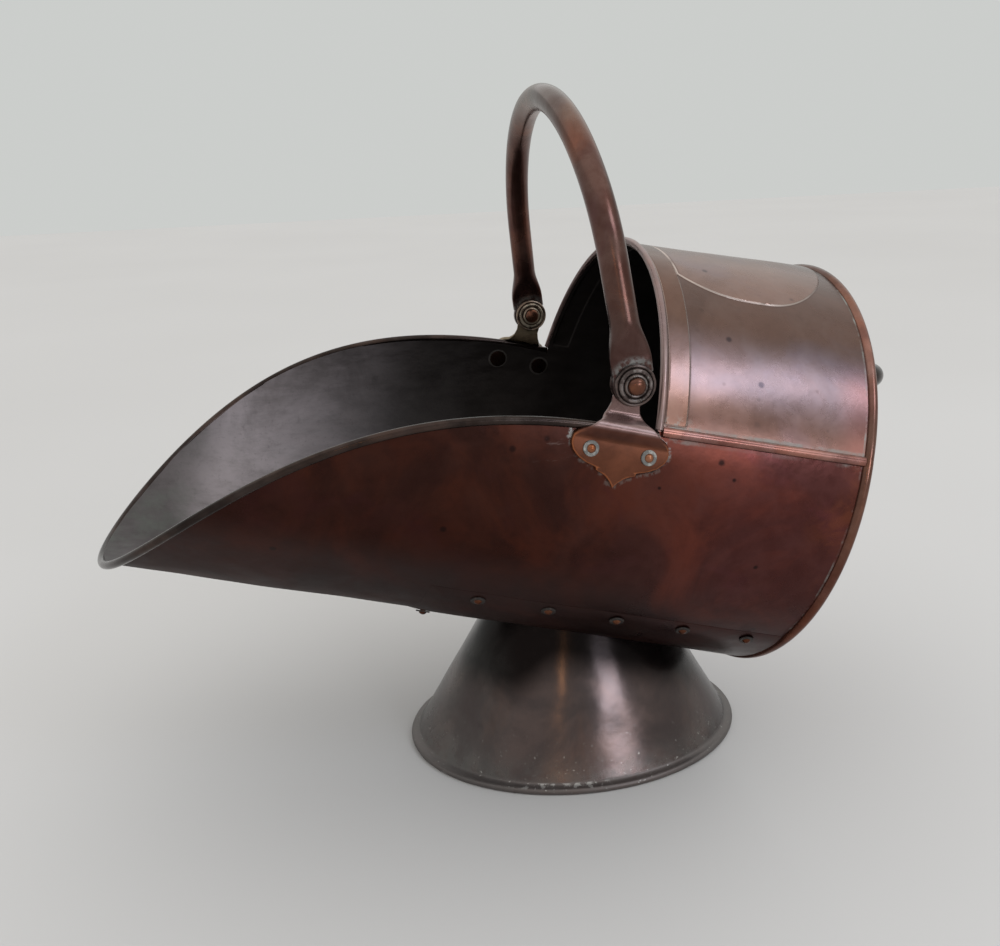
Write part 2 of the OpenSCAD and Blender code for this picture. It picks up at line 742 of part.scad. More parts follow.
// Radius of the bend that brings the flared arm upright over the eye
bend_r = ((arm_top[1] - bend_end_h) * tan(arm_flare) - (eye_mid_y - arm_top[0]))
    / (sin(arm_flare) * tan(arm_flare) - 1 + cos(arm_flare));
bend_top_h = bend_end_h + bend_r * sin(arm_flare);
bail_half = concat(
    [for (i = [0 : 9]) let (a = bail_crown_angle * i / 10)
        [bail_crown_r * sin(a), bail_h - bail_crown_r * (1 - cos(a))]],
    [for (i = [0 : 5]) let (a = bail_crown_angle + (arm_angle - bail_crown_angle) * i / 6)
        shoulder_c + bail_shoulder_r * [sin(a), cos(a)]],
    [for (i = [0 : 5]) let (h = arm_top[1] + (bend_top_h - arm_top[1]) * i / 6)
        [arm_top[0] + (arm_top[1] - h) * tan(arm_flare), h]],
    [for (i = [0 : 5]) let (a = arm_flare * (1 - i / 5))
        [eye_mid_y - bend_r * (1 - cos(a)), bend_end_h + bend_r * sin(a)]],
    [[eye_mid_y, bail_end_h]]);
bail_last = len(bail_half) - 1;
bail_sides = 20;
flat_from_h = 36;
eye_start_h = 14;

// Ring of the bail at step k of the half centreline on the given side: round above,
// wider and flatter towards the eye
function bail_ring(k, side) =
    let (p = bail_half[k], q0 = bail_half[max(k - 1, 0)], q1 = bail_half[min(k + 1, bail_last)],
        d = k == 0 ? [1, 0] : k == bail_last ? [0, -1] : unit(q1 - q0),
        f = min(1, max(0, (flat_from_h - p[1]) / (flat_from_h - eye_start_h))),
        g = f * f * (3 - 2 * f), half_w = bail_d / 2 + (bail_eye_w / 2 - 0.5 - bail_d / 2) * g,
        half_t = bail_d / 2 + (bail_eye_t / 2 - 0.02 - bail_d / 2) * g, n = 2 + 3 * g)
    [for (j = [0 : bail_sides - 1]) let (a = j * 360 / bail_sides, c = cos(a), s = sin(a),
        w = half_w * sign(c) * pow(abs(c), 2 / n), t = half_t * sign(s) * pow(abs(s), 2 / n))
        [w, side * (p[0] - t * d[1]), p[1] + t * d[0]]];

module bail() {
    color(copper) barrel_frame() translate([-lug_u, 0, pivot_h]) rotate([0, -tilt - bail_lean, 0])
        difference() {
            union() {
                bar(concat([for (k = [bail_last : -1 : 1]) bail_ring(k, -1)],
                    [for (k = [0 : bail_last]) bail_ring(k, 1)]));
                both_sides() translate([0, eye_y, 0]) rotate([-90, 0, 0])
                    cylinder(h = bail_eye_t, d = bail_eye_w);
            }
            both_sides() translate([0, eye_y - 5, 0]) rotate([-90, 0, 0])
                cylinder(h = bail_eye_t + 10, d = pin_d + 2 * pin_clear);
        }
}

// ---- rear handle, a level grip on the back plate

handle_foot_t = 2;
handle_bend_r = 20;
handle_foot_w = 24;
handle_foot_h = 38;
handle_rivet_h = 13;
// Frame of the rear handle: x points away from the back plate, 0 on its outside
module handle_frame() {
    translate([sheet / 2, 0, rear_handle_h]) children();
}
module handle_rivet_places() {
    handle_frame() both_sides() for (side = [-1, 1])
        translate([0, rear_handle_span / 2, side * handle_rivet_h]) rotate([0, 90, 0]) children();
}
module rear_handle() {
    half = rear_handle_span / 2;
    color(copper) barrel_frame() handle_frame() {
        translate([rear_handle_reach, 0, 0]) rotate([90, 0, 0])
            cylinder(h = 2 * (half - handle_bend_r), d = rear_handle_d, center = true);
        both_sides() {
            translate([rear_handle_reach - handle_bend_r, half - handle_bend_r, 0])
                rotate_extrude(angle = 90) translate([handle_bend_r, 0]) circle(rear_handle_d / 2);
            translate([handle_foot_t, half, 0]) rotate([0, 90, 0])
                cylinder(h = rear_handle_reach - handle_bend_r - handle_foot_t, d = rear_handle_d);
        }
    }
}
module rear_handle_feet() {
    color(bright_copper) barrel_frame() difference() {
        handle_frame() both_sides() translate([0, rear_handle_span / 2, 0]) rotate([90, 0, 90])
            linear_extrude(handle_foot_t) polygon([for (i = [0 : 35])
                [handle_foot_w / 2 * cos(10 * i), handle_foot_h / 2 * sin(10 * i)]]);
        handle_rivet_places() rivet_hole(1, handle_foot_t);
    }
}
module rear_handle_rivets() {
    color(bright_copper) barrel_frame() handle_rivet_places() {
        translate([0, 0, handle_foot_t]) dome(rivet_d + 3, rivet_dome_h);
        translate([0, 0, -sheet - burr_t]) cylinder(h = sheet + burr_t + handle_foot_t + 0.1, d = rivet_d);
        translate([0, 0, -sheet - burr_t]) mirror([0, 0, 1]) dome(rivet_dome_d, rivet_dome_h);
    }
}
module rear_handle_burrs() {
    color(bright_copper) barrel_frame() handle_rivet_places() burr(-sheet - burr_t);
}

scoop_shell();
rim_wire();
hood_shell();
hood_wire();
back_plate();
seam_strip_near();
seam_strip_far();
saddle_plate();
saddle_rivets();
saddle_burrs();
foot_cone();
foot_wire();
lug_near();
lug_far();
lug_rivets();
lug_burrs();
inner_washer_near();
inner_washer_far();
outer_washer_near();
outer_washer_far();
pivot_pin_near();
pivot_pin_far();
bail();
rear_handle();
rear_handle_feet();
rear_handle_rivets();
rear_handle_burrs();
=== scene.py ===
import math
from functools import reduce

import bmesh
import bpy
import numpy as np
from mathutils import Matrix, Vector
from mathutils.geometry import delaunay_2d_cdt


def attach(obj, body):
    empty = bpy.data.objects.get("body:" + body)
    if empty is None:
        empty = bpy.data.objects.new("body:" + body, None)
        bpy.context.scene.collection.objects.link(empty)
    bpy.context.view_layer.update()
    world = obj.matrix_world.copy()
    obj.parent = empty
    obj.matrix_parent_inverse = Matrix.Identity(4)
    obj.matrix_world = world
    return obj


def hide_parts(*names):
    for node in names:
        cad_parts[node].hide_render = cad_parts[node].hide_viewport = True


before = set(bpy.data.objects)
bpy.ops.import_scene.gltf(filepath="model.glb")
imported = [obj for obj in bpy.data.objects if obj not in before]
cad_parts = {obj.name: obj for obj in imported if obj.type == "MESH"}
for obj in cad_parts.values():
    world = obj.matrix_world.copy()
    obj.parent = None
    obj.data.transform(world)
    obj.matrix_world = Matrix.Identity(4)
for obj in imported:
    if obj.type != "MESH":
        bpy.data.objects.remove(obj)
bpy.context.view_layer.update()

# ---- The scoop
# The body of the scuttle is one sheet of copper, rolled into a barrel that tapers
# a little towards the lip and cut away to a long mouth. It is darkened by age to a
# red brown outside and blackened by coal inside.
rear_r, mean_r = 142.5, 140
taper = 11.5 / 448
tilt = math.radians(14.5)
rear_x, axis_z = 144.0, 196.5
sheet_t = 1.2
hood_len, lip_u = 139.0, 448.0
seam_rear, seam_drop = 41.0, 3.5
rim_controls = ((hood_len, 34.85), (301, 39.35), (372, -23), (lip_u, -131))
lug_u, lug_pitch, lug_rivet_w = 160.5, 17.8, 21.8


def barrel_r(u):
    return rear_r - taper * u


def barrel(u, y, w):
    """Points in metres from millimetres along, across and above the barrel's axis."""
    u, y, w = np.broadcast_arrays(np.asarray(u, float), y, w)
    x = rear_x - u * math.cos(tilt) + w * math.sin(tilt)
    z = axis_z + u * math.sin(tilt) + w * math.cos(tilt)
    return np.stack([x, y, z], -1) * 0.001


def on_wall(u, angle, off=0.0):
    """Points off the barrel's wall, with the angle taken from the bottom."""
    r = barrel_r(np.asarray(u, float)) + off
    return barrel(u, r * np.sin(angle), -r * np.cos(angle))


def seam_w(u):
    return seam_rear - seam_drop * np.asarray(u, float) / hood_len


def rim(t):
    """Distance forward and height of the rim, a cubic curve in the side view."""
    t = np.asarray(t, float)
    weights = ((1 - t) ** 3, 3 * (1 - t) ** 2 * t, 3 * (1 - t) * t * t, t ** 3)
    return [sum(weight * point[k] for weight, point in zip(weights, rim_controls)) for k in range(2)]


def dents(a, b, size, seed):
    """Soft unevenness of hand worked sheet: a few long waves of random direction."""
    rng = np.random.default_rng(seed)
    total = np.zeros(np.broadcast(a, b).shape)
    for wave in (34, 55, 90, 150):
        for _ in range(3):
            turn, phase = rng.uniform(0, 2 * math.pi, 2)
            total += wave / 90 * np.sin(2 * math.pi * (a * math.cos(turn) + b * math.sin(turn)) / wave + phase)
    return size * total / 3


def wall_dents(u, angle):
    """Those of the barrel's wall, which the saddle plate shares."""
    return dents(u, angle * mean_r, 0.22, 5)


def stand(name, data):
    """An object with its data, linked into the scene."""
    thing = bpy.data.objects.new(name, data)
    bpy.context.scene.collection.objects.link(thing)
    return thing


def as_piece(name, verts, faces, finishes, finish_of=None):
    """A mesh piece with outward faces, smooth but for its sharp edges."""
    mesh = bpy.data.meshes.new(name)
    mesh.from_pydata(np.asarray(verts).reshape(-1, 3).tolist(), [], faces)
    form = bmesh.new()
    form.from_mesh(mesh)
    if form.calc_volume(signed=True) < 0:
        mesh.flip_normals()
    form.free()
    mesh.shade_smooth()
    mesh.set_sharp_from_angle(angle=math.radians(32))
    for finish in finishes:
        mesh.materials.append(finish)
    if finish_of is not None:
        mesh.polygons.foreach_set("material_index", np.asarray(finish_of, np.int32))
    mesh.update()
    return stand(name, mesh)


def sheet_metal(name, outer, inner, finishes, closed=False):
    """A piece of sheet between two grids of points; closed joins its first and last columns."""
    i = np.arange(outer.size // 3).reshape(outer.shape[:2])
    far = i.size
    if closed:
        i = np.concatenate([i, i[:, :1]], 1)
    quads = np.stack([i[:-1, :-1], i[1:, :-1], i[1:, 1:], i[:-1, 1:]], -1).reshape(-1, 4)
    edges = [(i[0, 1:], i[0, :-1]), (i[-1, :-1], i[-1, 1:])]
    if not closed:
        edges += [(i[:-1, 0], i[1:, 0]), (i[1:, -1], i[:-1, -1])]
    brims = [np.stack([a, b, b + far, a + far], -1) for a, b in edges]
    faces = np.concatenate([quads, quads[:, ::-1] + far, *brims])
    finish_of = np.zeros(len(faces), np.int32)
    finish_of[len(quads):2 * len(quads)] = len(finishes) - 1
    return as_piece(name, np.stack([outer, inner]), faces.tolist(), finishes, finish_of)


class Value:
    """A socket of a node tree that can stand in an expression."""

    def __init__(self, owner, socket):
        self.owner, self.socket = owner, socket

    def maths(self, operation, *terms):
        return self.owner.node("ShaderNodeMath", enumerate(terms), operation=operation)

    def __add__(self, other): return self.maths("ADD", self, other)
    def __radd__(self, other): return self.maths("ADD", other, self)
    def __sub__(self, other): return self.maths("SUBTRACT", self, other)
    def __rsub__(self, other): return self.maths("SUBTRACT", other, self)
    def __mul__(self, other): return self.maths("MULTIPLY", self, other)
    def __rmul__(self, other): return self.maths("MULTIPLY", other, self)
    def __truediv__(self, other): return self.maths("DIVIDE", self, other)
    def __pow__(self, other): return self.maths("POWER", self, other)
    def __abs__(self): return self.maths("ABSOLUTE", self)
    def least(self, other): return self.maths("MINIMUM", self, other)
    def most(self, other): return self.maths("MAXIMUM", self, other)


class Tree:
    """A node tree under construction."""

    def __init__(self, tree):
        self.tree = tree
        self.tree.nodes.clear()

    def node(self, kind, sockets=(), output=0, **settings):
        """A node with its settings and inputs: numbers, colours or the values of other nodes."""
        node = self.tree.nodes.new(kind)
        for key, value in settings.items():
            setattr(node, key, value)
        for key, value in dict(sockets).items():
            if isinstance(value, Value):
                self.tree.links.new(value.socket, node.inputs[key])
            elif value is not None:
                node.inputs[key].default_value = value
        return Value(self, node.outputs[output])

    def out(self, kind, result):
        self.tree.links.new(result.socket, self.tree.nodes.new(kind).inputs[0])


class Finish(Tree):
    """A material under construction on one surface shader."""

    def __init__(self, name):
        self.material = bpy.data.materials.new(name)
        self.material.use_nodes = True
        super().__init__(self.material.node_tree)
        self.place = self.node("ShaderNodeTexCoord", output="Object")
        self.x, self.y, self.z = (self.node("ShaderNodeSeparateXYZ", {0: self.place}, k) for k in range(3))
        self.back, self.up = self.x - rear_x / 1000, self.z - axis_z / 1000

    def noise(self, scale, detail, rough, stretch=(1, 1, 1), at=(0, 0, 0), warp=0.0):
        """Clouds from 0 to 1, with the scale in cycles for each metre."""
        place = self.node("ShaderNodeMapping", {"Vector": self.place, "Location": at, "Scale": stretch})
        return self.node("ShaderNodeTexNoise", {"Vector": place, "Scale": scale, "Detail": detail,
                                                    "Roughness": rough, "Distortion": warp}, "Fac")

    def cells(self, scale, at):
        """Distance to the nearest of many scattered points, in cells."""
        place = self.node("ShaderNodeMapping", {"Vector": self.place, "Location": at})
        return self.node("ShaderNodeTexVoronoi", {"Vector": place, "Scale": scale}, "Distance")

    def attribute(self, name):
        return self.node("ShaderNodeAttribute", {}, "Fac", attribute_name=name)

    def step(self, value, low, high):
        """0 below low and 1 above high, or the other way round, with a soft change."""
        ends = {"Value": value, "From Min": low, "From Max": high}
        return self.node("ShaderNodeMapRange", ends, interpolation_type="SMOOTHSTEP")

    def mix(self, share, a, b, how="MIX"):
        a, b = ((*tone, 1) if isinstance(tone, tuple) else tone for tone in (a, b))
        return self.node("ShaderNodeMix", {0: share, 6: a, 7: b}, 2, data_type="RGBA", blend_type=how)

    def over(self, colour, layers):
        """A colour with others laid over it in turn, each given with its share and, if need be, its way."""
        for share, tone, *how in layers:
            colour = self.mix(share, colour, tone, *how)
        return colour

    def finish(self, colour, metallic, roughness, bump=None, bump_mm=0.1, specular=0.5):
        normal = None
        if bump is not None:
            normal = self.node("ShaderNodeBump", {"Strength": 1.0, "Distance": bump_mm * 0.001, "Height": bump})
        sockets = {"Base Color": colour, "Metallic": metallic, "Roughness": roughness, "Normal": normal,
                   "Specular IOR Level": specular}
        self.out("ShaderNodeOutputMaterial", self.node("ShaderNodeBsdfPrincipled", sockets, "BSDF"))
        return self.material

    def distance(self, point):
        """Metres from a point of the object."""
        ends = {0: self.place, 1: tuple(float(v) for v in point)}
        return self.node("ShaderNodeVectorMath", ends, "Value", operation="DISTANCE")

    def along(self):
        """Millimetres forward of the back plate."""
        return self.up * (math.sin(tilt) * 1000) - self.back * (math.cos(tilt) * 1000)

    def above(self):
        """Millimetres above the barrel's axis."""
        return self.back * (math.sin(tilt) * 1000) + self.up * (math.cos(tilt) * 1000)

    def above_seam(self):
        """Millimetres above the side seams."""
        return self.above() - (self.along() * (-seam_drop / hood_len) + seam_rear)

    def off_wall(self):
        """Millimetres outside the barrel's wall."""
        return ((self.y * 1000) ** 2 + self.above() ** 2) ** 0.5 - (rear_r - self.along() * taper)


verdigris = (0.31, 0.33, 0.30)


def aged_copper(name, dark, warm, purple, sheen, rough, patch, seed=0.0, pits=True, relief=0.35,
                zones=None, marks=None, grime=None, dull=None):
    """Copper under an uneven oxide: warm and purple patches, dark spots and dulled areas, with the zones and marks
    given laid over them, some of them painted light and shade.
    """
    f = Finish(name)
    clouds = f.noise(patch, 5, 0.6, at=(seed, 1.3, 2.1), warp=0.8)
    tint = f.noise(patch * 1.7, 4, 0.6, at=(4.2, seed, 0.4), warp=0.6)
    fine = f.noise(140, 6, 0.7, at=(seed, seed, 0))
    mottle = f.noise(42, 5, 0.62, at=(2.0, seed, 5.0), warp=0.4)
    colour = f.mix(f.step(clouds, 0.42, 0.68), dark, warm)
    colour = f.over(colour, [(f.step(tint, 0.5, 0.72) * 0.7, purple), (f.step(mottle, 0.35, 0.75) * 0.35, sheen)])
    if pits:
        spot = 1 - f.step(f.cells(46, at=(seed, 0.2, 0.7)), 0.05, 0.13)
        spot = spot * f.step(f.noise(11, 2, 0.5, at=(0.5, seed, 3)), 0.5, 0.62)
        colour = f.mix(spot * 0.75, colour, (dark[0] * 0.35, dark[1] * 0.4, dark[2] * 0.5))
    colour = f.mix(f.step(fine, 0.45, 0.8) * 0.18, colour, tuple(c * 0.4 for c in dark))
    zoned = [(share, tone, "MULTIPLY") for share, tone in (zones(f) if zones else [])]
    colour = f.over(colour, zoned + (marks(f) if marks else []))
    rough_value = rough[0] + (rough[1] - rough[0]) * f.step(mottle * 0.6 + clouds * 0.4, 0.3, 0.72)
    metallic = bare = 0.86
    bump = f.noise(60, 3, 0.5, at=(seed, 3, 1)) * 0.8 + fine * 0.12
    if grime is not None:
        stain = grime(f)
        colour = f.mix(stain, colour, verdigris)
        rough_value = rough_value + stain * 0.35
        metallic = bare - stain * 0.7
    if dull is not None:
        dulled = dull(f)
        rough_value = rough_value + dulled * 0.3
        metallic = metallic - dulled * 0.5
    return f.finish(colour, metallic, rough_value, bump, relief, specular=0.4)


def line(f, distance, half, soft):
    """A broken line of verdigris where a distance in millimetres is small."""
    ragged = f.noise(150, 5, 0.75, at=(1, 2, 3))
    patches = f.noise(38, 3, 0.6, at=(4, 2, 1))
    near = f.step(abs(distance) / (half * (0.1 + ragged * 1.1 + patches * 0.7)), 1.0, 1.0 - soft)
    return near * f.step(ragged * 0.5 + patches * 0.5, 0.42, 0.66)


def scoop_grime(f):
    u = f.along()
    ends = f.step(u, 96, 134).most(f.step(u, 26, 6))
    under_strip = line(f, f.above_seam() + 3.9, 1.9, 0.9) * (ends * 0.5 + 0.06) * f.step(u, 138, 134)
    return (under_strip + line(f, u - 4.3, 0.9, 0.7) * 0.5).least(1.0)


def spots(f, places):
    """Round marks, given as millimetres forward, across and above the barrel's axis, and a radius."""
    ragged = f.noise(300, 3, 0.6) * 0.8
    marks = [f.step(f.distance(barrel(u, y, w)) * (1000 / size) + ragged, 1.7, 0.8) for u, y, w, size in places]
    return reduce(Value.most, marks)


def scoop_tones_and_shade(f):
    # Tones by place: darker towards the lip, lighter near the rear, redder low in the middle, and much darker on the
    # underside, which is painted shade under the barrel.
    u, w = f.along(), f.above()
    return [(f.step(u, 60, 240), (0.5, 0.48, 0.4)), (f.step(u, 150, 60), (1.2, 1.08, 1.15)),
            (f.step(w, -15, -85) * f.step(u, 120, 220), (1.05, 0.72, 0.5)),
            (f.step(w, -50, -100) * 0.85, (0.34, 0.28, 0.25))]


def scoop_marks(f):
    dark = spots(f, [(96, -137, 26, 2.4), (86, -139, 17, 1.4), (131, -139, 5, 1.3), (54, -136, -36, 1.8),
                     (232, -130, 6, 1.2), (88, 138, 12, 2.0), (160, 132, -40, 1.5)])
    ember = f.step(f.noise(24, 5, 0.65, at=(2, 2, 6), warp=0.6), 0.42, 0.62)
    ember = ember * f.step(f.along() + abs(f.above()) * 0.5, 44, 12)
    scratch = f.noise(90, 5, 0.7, stretch=(0.35, 1, 1.6), at=(1, 0, 3))
    scratched = f.step(scratch, 0.6, 0.68) * spots(f, [(203, -136, 15, 13), (150, 134, -20, 40)])
    by_lug, ragged = f.attribute("by_lug"), f.noise(260, 5, 0.7, at=(3, 1, 1))
    crust = f.step(by_lug + ragged * 3, 4.4, 6.0) * f.step(ragged, 0.44, 0.56)
    crust = crust * (f.step(f.above(), 18, 31) * 0.65 + 0.3)
    # Pale crust round the lug plates; right along their outline a near black line, partly dirt and partly painted
    # shadow.
    return [(dark * 0.85, (0.008, 0.004, 0.004)), (ember * 0.55, (0.16, 0.046, 0.022)),
            (scratched * 0.5, (0.13, 0.09, 0.08)), (crust * 0.7, (0.26, 0.27, 0.25)),
            (f.step(by_lug, 4.5, 5.5) * 0.9, (0.006, 0.004, 0.004))]


def scoop_dull(f):
    return f.step(f.above(), -50, -95) * f.step(f.along(), 110, 200)


scoop_outside = aged_copper("scoop_outside_copper", (0.05, 0.0155, 0.0125), (0.112, 0.03, 0.019),
                            (0.072, 0.0205, 0.023), (0.1, 0.04, 0.034), rough=(0.24, 0.4), patch=12,
                            grime=scoop_grime, zones=scoop_tones_and_shade, marks=scoop_marks, dull=scoop_dull)


lug_spots = [(u, side * (math.pi / 2 + math.asin(lug_rivet_w / barrel_r(u))))
             for side in (-1, 1) for u in (lug_u - lug_pitch, lug_u + lug_pitch)]


def sooty(name):
    """The inside: coal dust ground into dark copper, greyer and worn towards the lip."""
    f = Finish(name)
    worn = f.step(f.along(), 225, 385) * (0.28 + f.step(f.along(), 420, 372) * 0.72)
    clouds = f.noise(14, 6, 0.65, at=(3, 1, 0), warp=0.5)
    scuff = f.noise(150, 6, 0.7, stretch=(0.3, 1, 1), at=(0, 5, 1))
    dust = f.noise(300, 4, 0.7)
    dark = f.mix(worn, (0.018, 0.014, 0.013), (0.125, 0.108, 0.108))
    pale = f.mix(worn, (0.034, 0.028, 0.026), (0.30, 0.262, 0.27))
    colour = f.mix(f.step(clouds * 0.6 + scuff * 0.4, 0.36, 0.66), dark, pale)
    green = f.step(f.noise(22, 5, 0.7, at=(8, 1, 2)), 0.45, 0.65) * f.step(f.along(), 385, 425) * 0.6
    colour = f.over(colour, [(f.step(dust, 0.55, 0.75) * 0.3, (0.02, 0.016, 0.015)), (green, (0.085, 0.095, 0.08))])
    for u, angle in lug_spots:
        round_head = abs(f.distance(on_wall(u, angle, -sheet_t)) * 1000 - 7.1)
        colour = f.mix(f.step(round_head, 0.9, 0.4) * 0.6, colour, (0.13, 0.12, 0.11))
    roughness = 0.46 + f.step(scuff, 0.3, 0.7) * 0.2
    return f.finish(colour, 0.55, roughness, clouds * 0.6 + dust * 0.25, 0.3)


scoop_inside = sooty("scoop_inside_soot")

rear_u = np.linspace(0, hood_len - 0.3, 46)
eased = np.linspace(0, 0.985, 150)
front_u, front_w = rim(eased * (2 - eased))
wall_u = np.concatenate([rear_u, front_u])
wall_w = np.concatenate([seam_w(rear_u), front_w])
half_angle = np.pi / 2 + np.arcsin(wall_w / barrel_r(wall_u))
across = np.linspace(-1, 1, 171)
angles = half_angle[:, None] * across[None, :]
stations = np.repeat(wall_u[:, None], len(across), 1)
unevenness = wall_dents(stations, angles)
scoop_wall = sheet_metal("scoop_wall", on_wall(stations, angles, unevenness),
                         on_wall(stations, angles, unevenness - sheet_t), [scoop_outside, scoop_inside])
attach(scoop_wall, "scuttle")

# ---- The wired edges
# The edges of the mouth, hood and foot are rolled over iron wire, which stiffens
# them and leaves no raw edge. One tree sweeps each roll along its path.


class Growth(Tree):
    """A tree of Geometry Nodes under construction, its named inputs given with their kind and first value."""

    def __init__(self, name, **inputs):
        super().__init__(bpy.data.node_groups.new(name, "GeometryNodeTree"))
        new_socket = self.tree.interface.new_socket
        for key, (kind, value) in inputs.items():
            socket = new_socket(key.replace("_", " "), in_out="INPUT", socket_type="NodeSocket" + kind)
            if value is not None:
                socket.default_value = value
        new_socket("Result", in_out="OUTPUT", socket_type="NodeSocketGeometry")
        self.given = self.tree.nodes.new("NodeGroupInput").outputs

    def __getitem__(self, name):
        return Value(self, self.given[name])

    def end(self, geometry):
        """Ends the tree in real geometry with its finish."""
        real = self.node("GeometryNodeRealizeInstances", {"Geometry": geometry})
        dressed = self.node("GeometryNodeSetMaterial", {"Geometry": real, "Material": self["Finish"]})
        self.out("NodeGroupOutput", dressed)


wired_edge = Growth("wired_edge", Path=("Geometry", None), Roll_radius=("Float", 0.00265), Sides=("Int", 20),
                    Unevenness=("Float", 0.03), Seed=("Int", 3), Closed=("Bool", False), Finish=("Material", None))
grow = wired_edge.node
curve = grow("GeometryNodeMeshToCurve", {"Mesh": wired_edge["Path"]})
curve = grow("GeometryNodeSetSplineCyclic", {"Geometry": curve, "Cyclic": wired_edge["Closed"]})
swell = grow("ShaderNodeTexNoise", {"Scale": 45, "W": wired_edge["Seed"]}, noise_dimensions="4D")
swell = grow("ShaderNodeMapRange", {"Value": swell, "To Min": 1.0 - wired_edge["Unevenness"], "To Max": 1.0})
curve = grow("GeometryNodeSetCurveRadius", {"Curve": curve, "Radius": swell})
ring = {"Radius": wired_edge["Roll radius"], "Resolution": wired_edge["Sides"]}
ring = grow("GeometryNodeCurvePrimitiveCircle", ring)
sweep = grow("GeometryNodeCurveToMesh", {"Curve": curve, "Profile Curve": ring, "Fill Caps": True})
wired_edge.end(grow("GeometryNodeSetShadeSmooth", {"Geometry": sweep}))


def write_points(mesh, name, values):
    """Keeps a number or a vector at each point of a mesh."""
    values = np.asarray(values, np.float32)
    kind, key = ("FLOAT", "value") if values.ndim == 1 else ("FLOAT_VECTOR", "vector")
    mesh.attributes.new(name, kind, "POINT").data.foreach_set(key, values.ravel())


def grown(name, growth, verts, edges, outward=None, **inputs):
    """A plain mesh piece grown by a tree from points or a path."""
    mesh = bpy.data.meshes.new(name + "_path")
    mesh.from_pydata(np.asarray(verts).tolist(), edges, [])
    if outward is not None:
        write_points(mesh, "outward", outward)
    host = stand(name + "_path", mesh)
    modifier = host.modifiers.new("grow", "NODES")
    modifier.node_group = growth.tree
    sockets = {item.name: item.identifier for item in growth.tree.interface.items_tree if item.in_out == "INPUT"}
    for key, value in inputs.items():
        modifier[sockets[key.replace("_", " ")]] = value
    result = bpy.data.meshes.new_from_object(host.evaluated_get(bpy.context.evaluated_depsgraph_get()))
    result.name = name
    host.modifiers.clear()
    bpy.data.objects.remove(host)
    result.set_sharp_from_angle(angle=math.radians(40))
    return stand(name, result)


def rolled(name, points, radius, sides, finish, closed=False, **inputs):
    """An edge rolled over wire along a line of points."""
    edges = [(k, k + 1) for k in range(len(points) - 1)] + [(len(points) - 1, 0)] * closed
    return grown(name, wired_edge, points, edges, Roll_radius=radius, Sides=sides, Closed=closed, Finish=finish,
                 **inputs)


def rim_path(count, off):
    """Line along the rim from the near side round the lip to the far side, off the wall."""
    k = np.linspace(-1, 1, count)
    s = 1 - np.abs(k)
    u, w = rim(s * (2 - s))
    r = barrel_r(u)
    y = np.sqrt(np.maximum(r * r - w * w, 0)) * np.sign(k)
    scale = (r + off) / r
    return barrel(u, y * scale, w * scale)


edge_copper = aged_copper("edge_copper", (0.02, 0.0135, 0.0115), (0.055, 0.034, 0.027), (0.04, 0.028, 0.026),
                          (0.09, 0.07, 0.062), rough=(0.16, 0.28), patch=20, pits=False, seed=7.0, relief=0.2)
rim_roll = rolled("rim_roll", rim_path(241, 1.26), 0.00265, 22, edge_copper)
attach(rim_roll, "scuttle")
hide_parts("scoop_shell")

# ---- The hood
# A second sheet closes the top of the barrel over its rear half. A swaged band runs
# behind its wired mouth, and a raised panel is pressed into its crown.
hood_rear = (141.30, 4.40)
hood_front = (140.26, -4.66)
emboss = 0.9
band_at = (122.15, 135.65)
panel_mid, panel_half, panel_rear, panel_front, panel_end = 62.0, 77.0, 56.0, 76.0, 120.95


def hood_circle(u):
    share = np.asarray(u, float) / hood_len
    r = hood_rear[0] + (hood_front[0] - hood_rear[0]) * share
    return r, hood_rear[1] + (hood_front[1] - hood_rear[1]) * share + 0.25 * share


def on_hood(u, arc, off=0.0):
    """Points off the hood, arc millimetres round from its crown."""
    r, c = hood_circle(u)
    return barrel(u, (r + off) * np.sin(arc / r), c + (r + off) * np.cos(arc / r))


def panel_outline():
    a = np.linspace(-math.pi, math.pi, 720, endpoint=False)
    c, sn = np.cos(a), np.sin(a)
    front = c > 0
    n = np.where(front, 2.6, 2.0)
    length = np.where(front, panel_front, panel_rear)
    u = panel_mid + np.sign(c) * length * np.abs(c) ** (2 / n)
    y = np.sign(sn) * panel_half * np.abs(sn) ** (2 / n)
    r, _ = hood_circle(u)
    return np.stack([u, r * np.arcsin(y / r)], -1)


def hood_grime(f):
    u, seam = f.along(), f.above_seam()
    strip = line(f, seam - 3.7, 1.5, 0.8) * f.step(u, 139, 133)
    corner = f.step(u, 108, 134) * f.step(seam, 13, 3) * f.step(f.noise(210, 5, 0.7, at=(2, 7, 1)), 0.5, 0.6)
    return (strip * 0.6 + line(f, u - 4.2, 0.8, 0.7) * 0.75 + corner * 0.5).least(0.85)


def hood_tones_and_sheen(f):
    u, w, edge = f.along(), f.above(), f.attribute("edge_mm")
    panel = f.step(edge, 0.2, -0.6) * f.step(u, 121, 119)
    cloud = f.noise(9, 3, 0.5, at=(7, 2, 1)) * 30 - 15
    middle = f.step(w + cloud, 48, 70) * f.step(w + cloud * 0.5, 104, 84)
    upper = f.step(w + cloud * 0.5, 76, 100) * (1 - panel)
    band = f.step(edge, 0.3, -0.4) * f.step(u, 121.5, 122.5)
    # Across the middle height a painted lilac sheen; above it, off the panel, darker, a painted dark reflection; the
    # raised panel a little lighter, polished.
    return [(middle, (1.02, 1.25, 1.6)), (upper, (0.52, 0.56, 0.56)), (panel, (0.93, 1.05, 1.08)),
            # The swaged band lighter, a painted highlight, and the hood darker below the sheen.
            (band, (1.2, 1.1, 1.0)), (f.step(w, 62, 46) * (1 - band), (0.78, 0.76, 0.76)),
            # A painted pink sheen at the rear end, next to the rolled joint.
            (f.step(u, 30, 6) * f.step(w, 100, 80) * 0.8, (1.4, 1.05, 1.0))]


